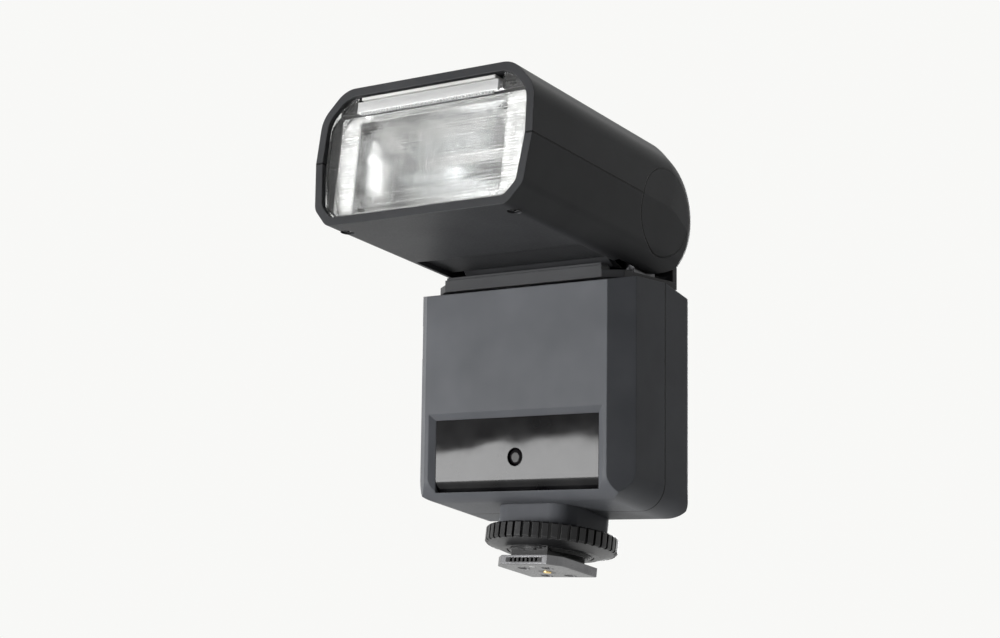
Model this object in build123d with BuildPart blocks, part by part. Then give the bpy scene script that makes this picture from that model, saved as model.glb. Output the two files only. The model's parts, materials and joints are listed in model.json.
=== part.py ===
from build123d import *
import os
from math import cos, radians, sin, sqrt

# Hot-shoe speedlight flash: a body on a locking shoe foot, a neck that swivels on the
# body and a head that tilts on the neck. Millimetres.
# Row frame: the origin is the centre of the foot's underside, +X is to the right as one
# faces the lens, +Y runs to the rear, +Z runs up along the axis of the lock ring.
os.makedirs("parts", exist_ok=True)

# ---------------------------------------------------------------- driving dimensions
# running and assembly clearances
FIT = 0.05  # radial clearance of a shaft in its bearing
SLIP = 0.15  # gap round a piece that slides or presses
PLAY = 0.3  # gap between moving pieces that are not a fit
EDGE_SHARE = 0.25  # rounding of a small piece's edge, as a share of its height or radius
SEAT = 0.02  # gap between pieces assembled together
FAR = 120.0  # length of a cutting solid that has to pass right through

# pivot of the head, and the lean of the body and of the head about it
PIVOT_Y = -10.3
PIVOT_Z = 83.3
BODY_LEAN = 9.5
HEAD_DROOP = 2.05

# body housing, in the leaning body frame whose origin is the pivot
BODY_HALF = 31.0
BODY_FRONT = -18.2
BODY_REAR = 10.9
BODY_TOP = -16.95
BODY_FRONT_TOP = -17.9
BODY_REAR_TOP = -20.0
BODY_BOTTOM_Z = 14.3
SEAM_Y = -1.1
WALL = 1.8
BEVEL_X = 4.9
BEVEL_Y = 4.7
FRONT_FOOT_R = 6.0
REAR_FOOT_R = 3.0
SIDE_FOOT_R = 6.4
REAR_CORNER_R = 2.6

# gloss sensor window, low on the front
WINDOW_HALF = 23.4
WINDOW_TOP_Z = 32.8
WINDOW_LOW_Z = 15.8
WINDOW_DEPTH = 1.0
WINDOW_THICK = 1.5
WINDOW_LEDGE = 1.6
SENSOR_Z = 23.6
SENSOR_R = 2.1
LAMP_X = 10.0
LAMP_R = 2.0
LAMP_THICK = 0.5
SENSOR_FLANGE_R = 2.9
SENSOR_FLANGE = 0.6
SENSOR_BOARD_HALF = 14.0
SENSOR_BOARD_HIGH = 7.6
SENSOR_BOARD_THICK = 1.0

# cells, tray and door
CELL_R = 7.25
CELL_LONG = 50.5
CELL_PITCH = 14.7
CELL_DOOR_GAP = 2.5  # from the outside of the body to the end of the cells
CELL_Y = -5.7
CELL_Z = -55.4
CELL_NUB_R = 2.6
CELL_NUB = 1.0
TRAY_WALL = 0.8
TRAY_END_GAP = 4.8  # from the end of the cells to the end of the tray
CONTACT_THICK = 0.4
CONTACT_HALF = 4.0
DOOR_HALF_Y = 7.7
DOOR_PIN_R = 0.45
DOOR_PIN_LONG = 1.2
DOOR_GRIP_DEPTH = 0.5
DOOR_GRIPS = 6
DOOR_GRIP_PITCH = 2.0

# electronics in the body
CAP_R = 5.2
CAP_LOW_X = -20.0
CAP_LONG = 34.0
CAP_Y = -9.0
CAP_Z = -27.1
CORE_X = 19.8
CORE_SIZE = 10.4
COIL_R = 3.6
BOARD_THICK = 1.2
MAIN_BOARD_Y = 2.7
MAIN_BOARD_HALF = 26.5
MAIN_BOARD_TOP = -24.8
MAIN_BOARD_LOW = -62.0
KEY_BOARD_Y = 5.4
KEY_BOARD_THICK = 1.0
KEY_BOARD_HALF = 24.5
KEY_BOARD_TOP = -24.0
KEY_BOARD_LOW = -63.0
POST_R = 1.9
POST_X = 22.3
POST_HIGH = -26.2
POST_LOW = -60.8

# display and controls on the rear
LCD_HALF_X = 19.5
LCD_HALF_Z = 9.0
LCD_Z = -34.5
LCD_RIM = 2.0
LCD_WINDOW_THICK = 1.1
DIAL_X = -9.0
DIAL_Z = -55.8
DIAL_R = 8.6
DIAL_HIGH = 1.7
DIAL_HUB_R = 5.4
DIAL_NOTCHES = 32
SET_R = 4.1
KEY_R = 2.5
KEY_PROUD = 0.8
KEY_FLANGE = 0.7
KEY_FLANGE_THICK = 0.8
KEY_TRAVEL = 0.5
KEY_PITCH_X = 8.6
KEY_PITCH_Z = 9.0
KEY_LEFT_X = 7.2
KEY_ROW_Z = -51.6
SWITCH_X = -21.2
SWITCH_HALF_X = 1.6
SWITCH_HALF_Z = 3.0
SWITCH_TRAVEL = 4.0
SWITCH_GROOVES = 3
SWITCH_PROUD = 1.0

# ports on the side that the door is on
PORT_Y = -9.0
PORT_Z = -28.3
PORT_HALF_Y = 4.6
PORT_HALF_Z = 3.9
PORT_COVER_THICK = 1.0
PORT_HINGE_R = 0.5
USB_Y = -11.3
USB_HALF_Y = 1.3
USB_HALF_Z = 3.5
SYNC_Y = -7.3
SYNC_R = 1.75
SYNC_BORE_R = 1.25
SOCKET_LONG = 6.0
SOCKET_WALL = 0.4

# case screws
SCREW_R = 1.1
SCREW_HEAD_R = 1.6
SCREW_HEAD = 1.1
SCREW_LONG = 14.0
SCREW_SUNK = 0.4
SLOT_W = 0.5
SLOT_DEEP = 0.5
CASE_BOSS_R = 1.9
CASE_BOSS_FRONT = -14.5
CASE_HIGH_IN = 3.5  # from the side of the body to the upper screws
CASE_HIGH_Z = -21.9
CASE_LOW_X = 20.0
CASE_LOW_Z = -65.9

# shoe foot and its lock
FOOT_HALF = 9.3
FOOT_THICK = 2.2
FOOT_FRONT = -10.0
FOOT_REAR = 7.0
FOOT_CORNER = 2.8
PAD_HALF = 5.15
PAD_FRONT = -8.1
PAD_REAR = 7.6
RING_Y = 0.5
RING_R = 15.8
RING_LOW = 5.5
RING_TOP = 9.35
RING_TEETH = 44
TOOTH_DEEP = 0.8
TOOTH_GAP = 0.75
RING_CONE_R = 11.8
RING_CONE_LOW = 4.4
POST_BIG_R = 7.9
PLATE_R = 10.3
PLATE_LOW = 3.7
PLATE_STEPS = 3
PLATE_STEP_R = 0.45
PLATE_STEP_Z = 0.3
CLAMP_TRAVEL = 0.6
LOCK_PIN_R = 0.9
LOCK_PIN_Y = -6.4
PIN_R = 1.0
PIN_PROUD = 0.3
PIN_TOP = 4.0
PIN_TRAVEL = 0.3
INSULATOR_R = 2.2
FOOT_SCREW_X = 3.4
FOOT_SCREW_Y = 4.8
FOOT_SCREW_R = 0.8
FOOT_SCREW_HEAD_R = 1.5
FOOT_SCREW_TOP = 12.8
PEDESTAL_HALF = 10.75
PEDESTAL_R = 5.0
PEDESTAL_LOW = 9.4
PORT_SLOTS = 7
PORT_SLOT_W = 0.6
PORT_SLOT_H = 0.9

# neck
NECK_LOW = -16.75
NECK_PLATE_TOP = -15.0
NECK_BAND_TOP = -13.9
NECK_LIP_TOP = -13.3
NECK_FRONT = -15.5
NECK_FRONT_HALF = 22.7
NECK_HALF = 26.8
NECK_STEP_Y = 3.4
DRUM_R = 15.2
DRUM_WALL = 1.5
DRUM_HALF = 21.0
ARM_HALF = 24.6
ARM_THICK = 2.4
BRACKET_THICK = 0.9
ARM_R = 9.0
SWIVEL_R = 6.0
SWIVEL_BORE_R = 4.0
SWIVEL_LOW = -21.4
SEAT_R = 10.5
WASHER_R = 8.9
WASHER_ROOM = 6.0
WASHER_THICK = 0.5
TILT_WASHER_THICK = 0.4
FLANGE_THICK = 0.9
FLANGE_R = 8.0
BRACKET_FOOT_Y = 15.0
CLIP_R = 8.2
CLIP_THICK = 0.8
CLIP_GROOVE = 0.7

# head, in the drooping head frame whose origin is the pivot
HEAD_FRONT = -55.2
HEAD_LOW = -14.0
HEAD_TOP = 18.9
HEAD_HALF = 30.7
HEAD_SEAM = 1.6
HEAD_LOW_HALF = 25.4
HEAD_LOW_SIDE = 29.4
HEAD_LOW_CORNER = -9.6
HEAD_TOP_HALF = 24.0
HEAD_TOP_SIDE = 30.2
HEAD_TOP_CORNER = 12.4
HEAD_LOW_R = 3.4
HEAD_TOP_R = 7.0
HEAD_WALL = 2.0
TAIL_EASE = 0.03  # by which the turned tail starts outside the straight section
CORNER_SHIFT = 1 / 3  # rise of a slanted corner for each unit that the wall comes in
LENS_SET_BACK = 1.3
LENS_THICK = 1.6
ARM_SLOT_HALF = 25.1
NECK_SLOT_HALF = 27.3
SHOULDER_R = 14.6
NECK_SLOT_FRONT = -10.2
NECK_SLOT_ANGLE = 55.5
LIP_RECESS = 1.3
LIP_RECESS_FRONT = -24.0
LIP_RECESS_SIDE = 0.9
CAP_DISC_R = 10.5
CAP_THICK = 2.7
STUB_R = 4.6
STUB_BORE_R = 2.6
HEAD_SCREW_X = 23.6
HEAD_SCREW_R = 0.9
HEAD_SCREW_HEAD_R = 1.6
HEAD_SCREW_LONG = 8.0
HEAD_BOSS_R = 1.7
HEAD_BOSS_W = -3.6
HEAD_SCREW_V = -49.6

# panels stored above the lens
CARD_HALF = 19.0
CARD_THICK = 0.7
CARD_TOP = 16.4
PANEL_HALF = 20.0
PANEL_THICK = 1.0
PANEL_TOP = 15.3
PANEL_LIP = 1.6
PANEL_REAR = -19.6
SHELF_THICK = 0.7

# lamp carriage and zoom drive
MOUTH_V = -49.0
MOUTH_HALF = 21.7
MOUTH_TOP = 12.0
MOUTH_LOW = -11.2
LAMP_BACK_V = -34.5
LAMP_BACK_HALF = 16.0
LAMP_BACK_TALL = 8.0
FOIL = 0.5
TUBE_R = 1.8
TUBE_V = -39.8
TUBE_HALF = 23.4
GROMMET_R = 2.8
CARRIER_THICK = 2.6
CARRIER_HALF = 27.2
CARRIER_MARGIN = 2.7
ROD_R = 0.9
ROD_X = 25.6
ROD_W = 2.0
ROD_FRONT = -47.0
ZOOM_X = -25.4
ZOOM_W = -4.6
ZOOM_R = 0.8
MOTOR_R = 2.2
MOTOR_LONG = 6.0
HEAD_BOARD_V = -18.9
HEAD_BOARD_HALF = 26.6
HEAD_BOARD_LOW = -8.6
HEAD_BOARD_TOP = 12.6

# ---------------------------------------------------------------- frames
foot_frame = Plane.XY
body_frame = Plane(
    origin=(0, PIVOT_Y, PIVOT_Z),
    x_dir=(1, 0, 0),
    z_dir=(0, -sin(radians(BODY_LEAN)), cos(radians(BODY_LEAN))),
)
head_frame = Plane(
    origin=(0, PIVOT_Y, PIVOT_Z),
    x_dir=(1, 0, 0),
    z_dir=(0, -sin(radians(HEAD_DROOP)), cos(radians(HEAD_DROOP))),
)


def level(frame, height, x=0.0, y=0.0):
    """Sketch plane across a frame: sketch x is its X, sketch y is its Y."""
    return Plane(frame.from_local_coords((x, y, height)), frame.x_dir, frame.z_dir)


def side(frame, reach, y=0.0, z=0.0):
    """Sketch plane facing +X: sketch x is the frame's Y, sketch y is its Z."""
    return Plane(frame.from_local_coords((reach, y, z)), frame.y_dir, frame.x_dir)


def front(frame, depth, x=0.0, z=0.0):
    """Sketch plane facing -Y: sketch x is the frame's X, sketch y is its Z."""
    return Plane(frame.from_local_coords((x, depth, z)), frame.x_dir, -frame.y_dir)


def body_z(y, z):
    """Height in the body frame of the row-frame height z at body-frame depth y."""
    return (z - PIVOT_Z - y * sin(radians(BODY_LEAN))) / cos(radians(BODY_LEAN))


# ---------------------------------------------------------------- housing forms
def body_form(inset):
    """The body housing's outside, or its inside when inset by the wall."""
    front_y = BODY_FRONT + inset
    rear_y = BODY_REAR - inset
    bottom = BODY_BOTTOM_Z + inset
    half = BODY_HALF - inset
    front_low = (front_y, body_z(front_y, bottom))
    rear_low = (rear_y, body_z(rear_y, bottom))
    front_half = BODY_HALF - BEVEL_X - inset / 2
    with BuildPart() as form:
        with BuildSketch(side(body_frame, 0)):
            with BuildLine():
                Polyline(
                    front_low,
                    (front_y, BODY_FRONT_TOP - inset),
                    (BODY_FRONT + BEVEL_Y, BODY_TOP - inset),
                    (SEAM_Y, BODY_TOP - inset),
                    (rear_y, BODY_REAR_TOP - inset),
                    rear_low,
                    close=True,
                )
            make_face()
            fillet(vertices().sort_by_distance(front_low)[0], FRONT_FOOT_R - inset)
            fillet(vertices().sort_by_distance(rear_low)[0], REAR_FOOT_R - inset / 2)
        extrude(amount=half, both=True)
        with BuildSketch(body_frame):
            with BuildLine():
                Polyline(
                    (half, rear_y),
                    (half, BODY_FRONT + BEVEL_Y),
                    (front_half, front_y),
                    (-front_half, front_y),
                    (-half, BODY_FRONT + BEVEL_Y),
                    (-half, rear_y),
                    close=True,
                )
            make_face()
            fillet(vertices().group_by(Axis.Y)[-1], REAR_CORNER_R - inset / 2)
        extrude(amount=FAR, both=True, mode=Mode.INTERSECT)
        with BuildSketch(front(foot_frame, 0)):
            with Locations((0, bottom)):
                Rectangle(2 * half, FAR, align=(Align.CENTER, Align.MIN))
            fillet(vertices().group_by(Axis.Y)[0], SIDE_FOOT_R - inset)
        extrude(amount=FAR, both=True, mode=Mode.INTERSECT)
    return form.part


def head_section(inset):
    """Corners of the head's cross-section, right side from the bottom up."""
    return [
        (HEAD_LOW_HALF - inset / 2, HEAD_LOW + inset),
        (HEAD_LOW_SIDE - inset, HEAD_LOW_CORNER + inset * CORNER_SHIFT),
        (HEAD_HALF - inset, HEAD_SEAM),
        (HEAD_TOP_SIDE - inset, HEAD_TOP_CORNER - inset * CORNER_SHIFT),
        (HEAD_TOP_HALF - inset / 2, HEAD_TOP - inset),
    ]


def head_tail():
    """Limits of the head: its upper section turned about the tilt axis behind the pivot."""
    seam, shoulder, crown = ((x + TAIL_EASE, w + TAIL_EASE) for x, w in head_section(0)[2:])
    slant = (seam[0] - shoulder[0]) / (shoulder[1] - seam[1])
    hub = (seam[0] + slant * seam[1], 0)
    with BuildPart() as tail:
        with BuildSketch(front(head_frame, 0)):
            with BuildLine():
                Polyline((0, 0), hub, shoulder, crown, (0, crown[1]), close=True)
            make_face()
            for corner in (shoulder, crown):
                fillet(vertices().sort_by_distance(corner)[0], HEAD_TOP_R)
            mirror(about=Plane.YZ)
        revolve(axis=Axis(head_frame.origin, head_frame.x_dir))
        with BuildSketch(front(head_frame, 0)):
            Rectangle(FAR, FAR)
        extrude(amount=FAR)
    return tail.part


def head_form(inset, mouth=0.0):
    """The head housing's outside, or its inside, open at the front by the mouth."""
    front_v = HEAD_FRONT - mouth
    low = HEAD_LOW + inset
    top = HEAD_TOP - inset
    tail = (top - low) / 2
    half = HEAD_HALF - inset
    right = head_section(inset)
    left = [(-x, w) for x, w in reversed(right)]
    with BuildPart() as form:
        with BuildSketch(side(head_frame, 0)):
            with BuildLine():
                Polyline((0, low), (front_v, low), (front_v, top), (0, top))
                ThreePointArc((0, top), (tail, (top + low) / 2), (0, low))
            make_face()
        extrude(amount=half, both=True)
        with BuildSketch(front(head_frame, 0)):
            with BuildLine():
                Polyline(*right, *left, close=True)
            make_face()
            for corner in (right[0], right[1], left[-1], left[-2]):
                fillet(vertices().sort_by_distance(corner)[0], HEAD_LOW_R - inset / 2)
            for corner in (right[3], right[4], left[0], left[1]):
                fillet(vertices().sort_by_distance(corner)[0], HEAD_TOP_R - inset / 2)
        extrude(amount=FAR, both=True, mode=Mode.INTERSECT)
    return form.part


def slab(plane, width, height, depth):
    """A plain block standing on a sketch plane, centred on its origin."""
    with BuildPart() as block:
        with BuildSketch(plane):
            Rectangle(width, height)
        extrude(amount=depth)
    return block.part


def rod(plane, radius, depth, bore=0.0):
    """A round bar or tube standing on a sketch plane, centred on its origin."""
    with BuildPart() as bar:
        with BuildSketch(plane):
            Circle(radius)
            if bore:
                Circle(bore, mode=Mode.SUBTRACT)
        extrude(amount=depth)
    return bar.part


body_outer = body_form(0)
body_inner = body_form(WALL)
head_outer = head_form(0) & head_tail()
head_inner = head_form(HEAD_WALL, mouth=HEAD_WALL)

# places that several pieces share
WINDOW_HIGH = body_z(BODY_FRONT, WINDOW_TOP_Z)
WINDOW_LOW = body_z(BODY_FRONT, WINDOW_LOW_Z)
WINDOW_MID = (WINDOW_HIGH + WINDOW_LOW) / 2
WINDOW_TALL = WINDOW_HIGH - WINDOW_LOW
WINDOW_BACK = BODY_FRONT + WINDOW_DEPTH + WINDOW_THICK
SENSOR_HEIGHT = body_z(BODY_FRONT, SENSOR_Z)
SENSOR_BOARD_Y = WINDOW_BACK + SENSOR_FLANGE
REAR_INNER = BODY_REAR - WALL
SIDE_INNER = BODY_HALF - WALL
CELL_MID_Z = CELL_Z + CELL_PITCH / 2
CELL_LOW_X = CELL_DOOR_GAP - BODY_HALF
TRAY_END_X = CELL_LOW_X + CELL_LONG + TRAY_END_GAP
CASE_HIGH_X = BODY_HALF - CASE_HIGH_IN
TRAY_R = CELL_R + TRAY_WALL + SLIP / 2
DOOR_TALL = CELL_PITCH + 2 * DOOR_HALF_Y
DOOR_HINGE_X = WALL / 2 - BODY_HALF
DOOR_HINGE_Y = CELL_Y + DOOR_HALF_Y
DOOR_FRONT_Y = CELL_Y - DOOR_HALF_Y
KEY_BOARD_REAR = KEY_BOARD_Y + KEY_BOARD_THICK
LCD_WINDOW_Y = BODY_REAR - LCD_WINDOW_THICK
RECESS_TOP = RING_LOW + CLAMP_TRAVEL + PLAY
RING_BORE_R = POST_BIG_R + FIT
case_screws = [
    (CASE_HIGH_X, CASE_HIGH_Z),
    (-CASE_HIGH_X, CASE_HIGH_Z),
    (CASE_LOW_X, CASE_LOW_Z),
    (-CASE_LOW_X, CASE_LOW_Z),
]
foot_screw_places = [
    (x, y)
    for x in (-FOOT_SCREW_X, FOOT_SCREW_X)
    for y in (-FOOT_SCREW_Y, FOOT_SCREW_Y)
]
key_places = {
    "mode": (-KEY_LEFT_X, KEY_ROW_Z),
    "wireless": (-KEY_LEFT_X - KEY_PITCH_X, KEY_ROW_Z),
    "menu": (-KEY_LEFT_X, KEY_ROW_Z - KEY_PITCH_Z),
    "test": (-KEY_LEFT_X - KEY_PITCH_X, KEY_ROW_Z - KEY_PITCH_Z),
}

# openings that the two body shells share
door_opening = slab(
    side(body_frame, -BODY_HALF - PLAY, (DOOR_FRONT_Y + DOOR_HINGE_Y + WALL / 2) / 2, CELL_MID_Z),
    DOOR_HINGE_Y + WALL / 2 - DOOR_FRONT_Y + 2 * SLIP,
    DOOR_TALL + 2 * SLIP,
    WALL + 2 * PLAY,
)
door_pin_holes = rod(
    level(body_frame, CELL_MID_Z - DOOR_TALL / 2 - DOOR_PIN_LONG - SLIP, DOOR_HINGE_X, DOOR_HINGE_Y),
    DOOR_PIN_R + FIT,
    DOOR_TALL + 2 * (DOOR_PIN_LONG + SLIP),
)
swivel_hole = rod(level(body_frame, SWIVEL_LOW), SWIVEL_R + FIT, FAR)
washer_pocket = rod(level(body_frame, BODY_TOP - WALL), WASHER_R + SLIP, -WASHER_ROOM)
swivel_seat = rod(level(body_frame, BODY_TOP - WALL), SEAT_R, WALL)
foot_screw_bores = [
    rod(level(foot_frame, FOOT_THICK, x, y), FOOT_SCREW_R + SEAT, FOOT_SCREW_TOP - FOOT_THICK + SEAT)
    for x, y in foot_screw_places
]

# ---------------------------------------------------------------- body shells
with BuildPart() as front_shell:
    add(body_outer)
    add(body_inner, mode=Mode.SUBTRACT)
    with BuildSketch(front(body_frame, SEAM_Y)):
        with Locations(*case_screws):
            Circle(CASE_BOSS_R)
    extrude(amount=SEAM_Y - CASE_BOSS_FRONT)
    add(body_outer, mode=Mode.INTERSECT)
    with BuildSketch(front(body_frame, SEAM_Y)):
        with Locations(*case_screws):
            Circle(SCREW_R + SEAT)
    extrude(amount=SCREW_LONG, mode=Mode.SUBTRACT)
    # sloping ledges above and beside the sensor window, then the opening itself
    with BuildSketch(front(body_frame, BODY_FRONT)):
        with Locations((0, WINDOW_HIGH + WINDOW_LEDGE)):
            ledge_half = WINDOW_HALF + WINDOW_LEDGE
            Rectangle(2 * ledge_half, FAR, align=(Align.CENTER, Align.MAX))
    with BuildSketch(front(body_frame, BODY_FRONT + WINDOW_DEPTH)):
        with Locations((0, WINDOW_HIGH)):
            Rectangle(2 * WINDOW_HALF, FAR, align=(Align.CENTER, Align.MAX))
    loft(mode=Mode.SUBTRACT)
    with BuildSketch(front(body_frame, BODY_FRONT, 0, WINDOW_MID)):
        Rectangle(2 * WINDOW_HALF, WINDOW_TALL)
    extrude(amount=-FRONT_FOOT_R, mode=Mode.SUBTRACT)
    add(swivel_hole, mode=Mode.SUBTRACT)
    add(washer_pocket, mode=Mode.SUBTRACT)
    add(door_opening, mode=Mode.SUBTRACT)
    # recess and two openings for the ports, with holes for the cover's pins
    with BuildSketch(side(body_frame, -BODY_HALF, PORT_Y, PORT_Z)):
        Rectangle(2 * (PORT_HALF_Y + SLIP), 2 * (PORT_HALF_Z + SLIP))
    extrude(amount=PORT_COVER_THICK + SLIP, mode=Mode.SUBTRACT)
    with BuildSketch(side(body_frame, -BODY_HALF)):
        with Locations((USB_Y, PORT_Z)):
            Rectangle(2 * (USB_HALF_Y + SEAT), 2 * (USB_HALF_Z + SEAT))
        with Locations((SYNC_Y, PORT_Z)):
            Circle(SYNC_R + SEAT)
    extrude(amount=2 * WALL, mode=Mode.SUBTRACT)
    split(bisect_by=front(body_frame, SEAM_Y), keep=Keep.TOP)
front_shell.part.label = "front_shell"
export_step(front_shell.part, "parts/front_shell.step")

with BuildPart() as rear_shell:
    add(body_outer)
    add(swivel_seat)
    add(body_inner, mode=Mode.SUBTRACT)
    with BuildSketch(front(body_frame, REAR_INNER)):
        with Locations(*case_screws):
            Circle(CASE_BOSS_R)
    extrude(amount=REAR_INNER - SEAM_Y)
    # posts that carry the key board
    with BuildSketch(front(body_frame, REAR_INNER)):
        with Locations((-POST_X, POST_HIGH), (POST_X, POST_HIGH), (0, POST_LOW)):
            Circle(POST_R)
    extrude(amount=REAR_INNER - KEY_BOARD_REAR)
    with BuildSketch(front(body_frame, BODY_REAR)):
        with Locations(*case_screws):
            Circle(SCREW_HEAD_R + SEAT)
    extrude(amount=SCREW_HEAD + SCREW_SUNK, mode=Mode.SUBTRACT)
    with BuildSketch(front(body_frame, BODY_REAR)):
        with Locations(*case_screws):
            Circle(SCREW_R + SEAT)
    extrude(amount=FAR, mode=Mode.SUBTRACT)
    add(swivel_hole, mode=Mode.SUBTRACT)
    add(washer_pocket, mode=Mode.SUBTRACT)
    add(door_opening, mode=Mode.SUBTRACT)
    add(door_pin_holes, mode=Mode.SUBTRACT)
    # display opening: a shallow seat for the window and a hole for the module
    with BuildSketch(front(body_frame, BODY_REAR, 0, LCD_Z)):
        RectangleRounded(2 * (LCD_HALF_X + LCD_RIM), 2 * (LCD_HALF_Z + LCD_RIM), LCD_RIM)
    extrude(amount=LCD_WINDOW_THICK, mode=Mode.SUBTRACT)
    with BuildSketch(front(body_frame, BODY_REAR, 0, LCD_Z)):
        Rectangle(2 * (LCD_HALF_X + SLIP), 2 * (LCD_HALF_Z + SLIP))
    extrude(amount=2 * WALL, mode=Mode.SUBTRACT)
    # dial well, keys and switch slot
    with BuildSketch(front(body_frame, BODY_REAR)):
        with Locations((-DIAL_X, DIAL_Z)):
            Circle(DIAL_HUB_R + SLIP)
        with Locations(*key_places.values()):
            Circle(KEY_R + SLIP)
        with Locations((-SWITCH_X, DIAL_Z)):
            Rectangle(2 * (SWITCH_HALF_X + SLIP), 2 * (SWITCH_HALF_Z + SLIP) + SWITCH_TRAVEL)
    extrude(amount=2 * WALL, mode=Mode.SUBTRACT)
    split(bisect_by=front(body_frame, SEAM_Y), keep=Keep.BOTTOM)
rear_shell.part.label = "rear_shell"
export_step(rear_shell.part, "parts/rear_shell.step")

with BuildPart() as shell_screws:
    with BuildSketch(front(body_frame, BODY_REAR - SCREW_SUNK)):
        with Locations(*case_screws):
            Circle(SCREW_HEAD_R)
    extrude(amount=SCREW_HEAD)
    with BuildSketch(front(body_frame, BODY_REAR - SCREW_SUNK)):
        with Locations(*case_screws):
            Circle(SCREW_R)
    extrude(amount=SCREW_LONG)
    with BuildSketch(front(body_frame, BODY_REAR - SCREW_SUNK)):
        with Locations(*case_screws):
            Rectangle(2 * SCREW_R, SLOT_W)
            Rectangle(SLOT_W, 2 * SCREW_R)
    extrude(amount=SLOT_DEEP, mode=Mode.SUBTRACT)
shell_screws.part.label = "shell_screws"
export_step(shell_screws.part, "parts/shell_screws.step")

# ---------------------------------------------------------------- sensor window
with BuildPart() as sensor_window:
    add(body_form(WINDOW_DEPTH))
    add(body_form(WINDOW_DEPTH + WINDOW_THICK), mode=Mode.SUBTRACT)
    with BuildSketch(front(body_frame, BODY_FRONT, 0, WINDOW_MID)):
        Rectangle(2 * (WINDOW_HALF - SEAT), WINDOW_TALL - 2 * SEAT)
    extrude(amount=SEAT - FRONT_FOOT_R, mode=Mode.INTERSECT)
    with BuildSketch(front(body_frame, WINDOW_BACK + SEAT, 0, SENSOR_HEIGHT)):
        Circle(SENSOR_R + SEAT)
    extrude(amount=2 * WINDOW_THICK, mode=Mode.SUBTRACT)
sensor_window.part.label = "sensor_window"
export_step(sensor_window.part, "parts/sensor_window.step")

with BuildPart() as sensor_lens:
    with BuildSketch(front(body_frame, SENSOR_BOARD_Y, 0, SENSOR_HEIGHT)):
        Circle(SENSOR_FLANGE_R)
    extrude(amount=SENSOR_FLANGE)
    with BuildSketch(front(body_frame, WINDOW_BACK, 0, SENSOR_HEIGHT)):
        Circle(SENSOR_R)
    extrude(amount=WINDOW_THICK - SLIP)
    fillet(edges().group_by(Axis.Y)[0], SENSOR_R / 2)
sensor_lens.part.label = "sensor_lens"
export_step(sensor_lens.part, "parts/sensor_lens.step")

with BuildPart() as sensor_board:
    with BuildSketch(front(body_frame, SENSOR_BOARD_Y, 0, SENSOR_HEIGHT)):
        Rectangle(2 * SENSOR_BOARD_HALF, SENSOR_BOARD_HIGH)
    extrude(amount=-SENSOR_BOARD_THICK)
sensor_board.part.label = "sensor_board"
export_step(sensor_board.part, "parts/sensor_board.step")

with BuildPart() as focus_lamp:
    with BuildSketch(front(body_frame, SENSOR_BOARD_Y, LAMP_X, SENSOR_HEIGHT)):
        Circle(LAMP_R)
    extrude(amount=LAMP_THICK)
focus_lamp.part.label = "focus_lamp"
export_step(focus_lamp.part, "parts/focus_lamp.step")

# ---------------------------------------------------------------- cells and their tray
with BuildPart() as battery_tray:
    with BuildSketch(side(body_frame, -SIDE_INNER, CELL_Y, CELL_MID_Z)):
        SlotCenterToCenter(CELL_PITCH, 2 * TRAY_R, rotation=90)
    extrude(amount=SIDE_INNER + TRAY_END_X)
    with BuildSketch(side(body_frame, -SIDE_INNER, CELL_Y, CELL_MID_Z)):
        SlotCenterToCenter(CELL_PITCH, 2 * (TRAY_R - TRAY_WALL), rotation=90)
    extrude(amount=SIDE_INNER + TRAY_END_X - TRAY_WALL, mode=Mode.SUBTRACT)
    add(body_inner, mode=Mode.INTERSECT)
battery_tray.part.label = "battery_tray"
export_step(battery_tray.part, "parts/battery_tray.step")

with BuildPart() as battery_cells:
    can_long = CELL_LONG - CELL_NUB
    with BuildSketch(side(body_frame, CELL_LOW_X + CELL_NUB, CELL_Y, CELL_Z)):
        Circle(CELL_R)
    extrude(amount=can_long)
    with BuildSketch(side(body_frame, CELL_LOW_X, CELL_Y, CELL_Z)):
        Circle(CELL_NUB_R)
    extrude(amount=CELL_NUB)
    with BuildSketch(side(body_frame, CELL_LOW_X, CELL_Y, CELL_Z + CELL_PITCH)):
        Circle(CELL_R)
    extrude(amount=can_long)
    with BuildSketch(side(body_frame, CELL_LOW_X + can_long, CELL_Y, CELL_Z + CELL_PITCH)):
        Circle(CELL_NUB_R)
    extrude(amount=CELL_NUB)
battery_cells.part.label = "battery_cells"
export_step(battery_cells.part, "parts/battery_cells.step")

with BuildPart() as battery_contacts:
    contact_x = TRAY_END_X - TRAY_WALL - CONTACT_THICK
    cell_end = CELL_LOW_X + CELL_LONG
    for z in (CELL_Z, CELL_Z + CELL_PITCH):
        with BuildSketch(side(body_frame, contact_x, CELL_Y, z)):
            RectangleRounded(2 * CONTACT_HALF, 2 * CONTACT_HALF, CONTACT_THICK)
        extrude(amount=CONTACT_THICK)
        with BuildSketch(side(body_frame, contact_x, CELL_Y, z)):
            Circle(CELL_NUB_R + CONTACT_THICK)
        with BuildSketch(side(body_frame, cell_end + SEAT, CELL_Y, z)):
            Circle(CELL_NUB_R / 2)
        loft()
battery_contacts.part.label = "battery_contacts"
export_step(battery_contacts.part, "parts/battery_contacts.step")

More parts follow.
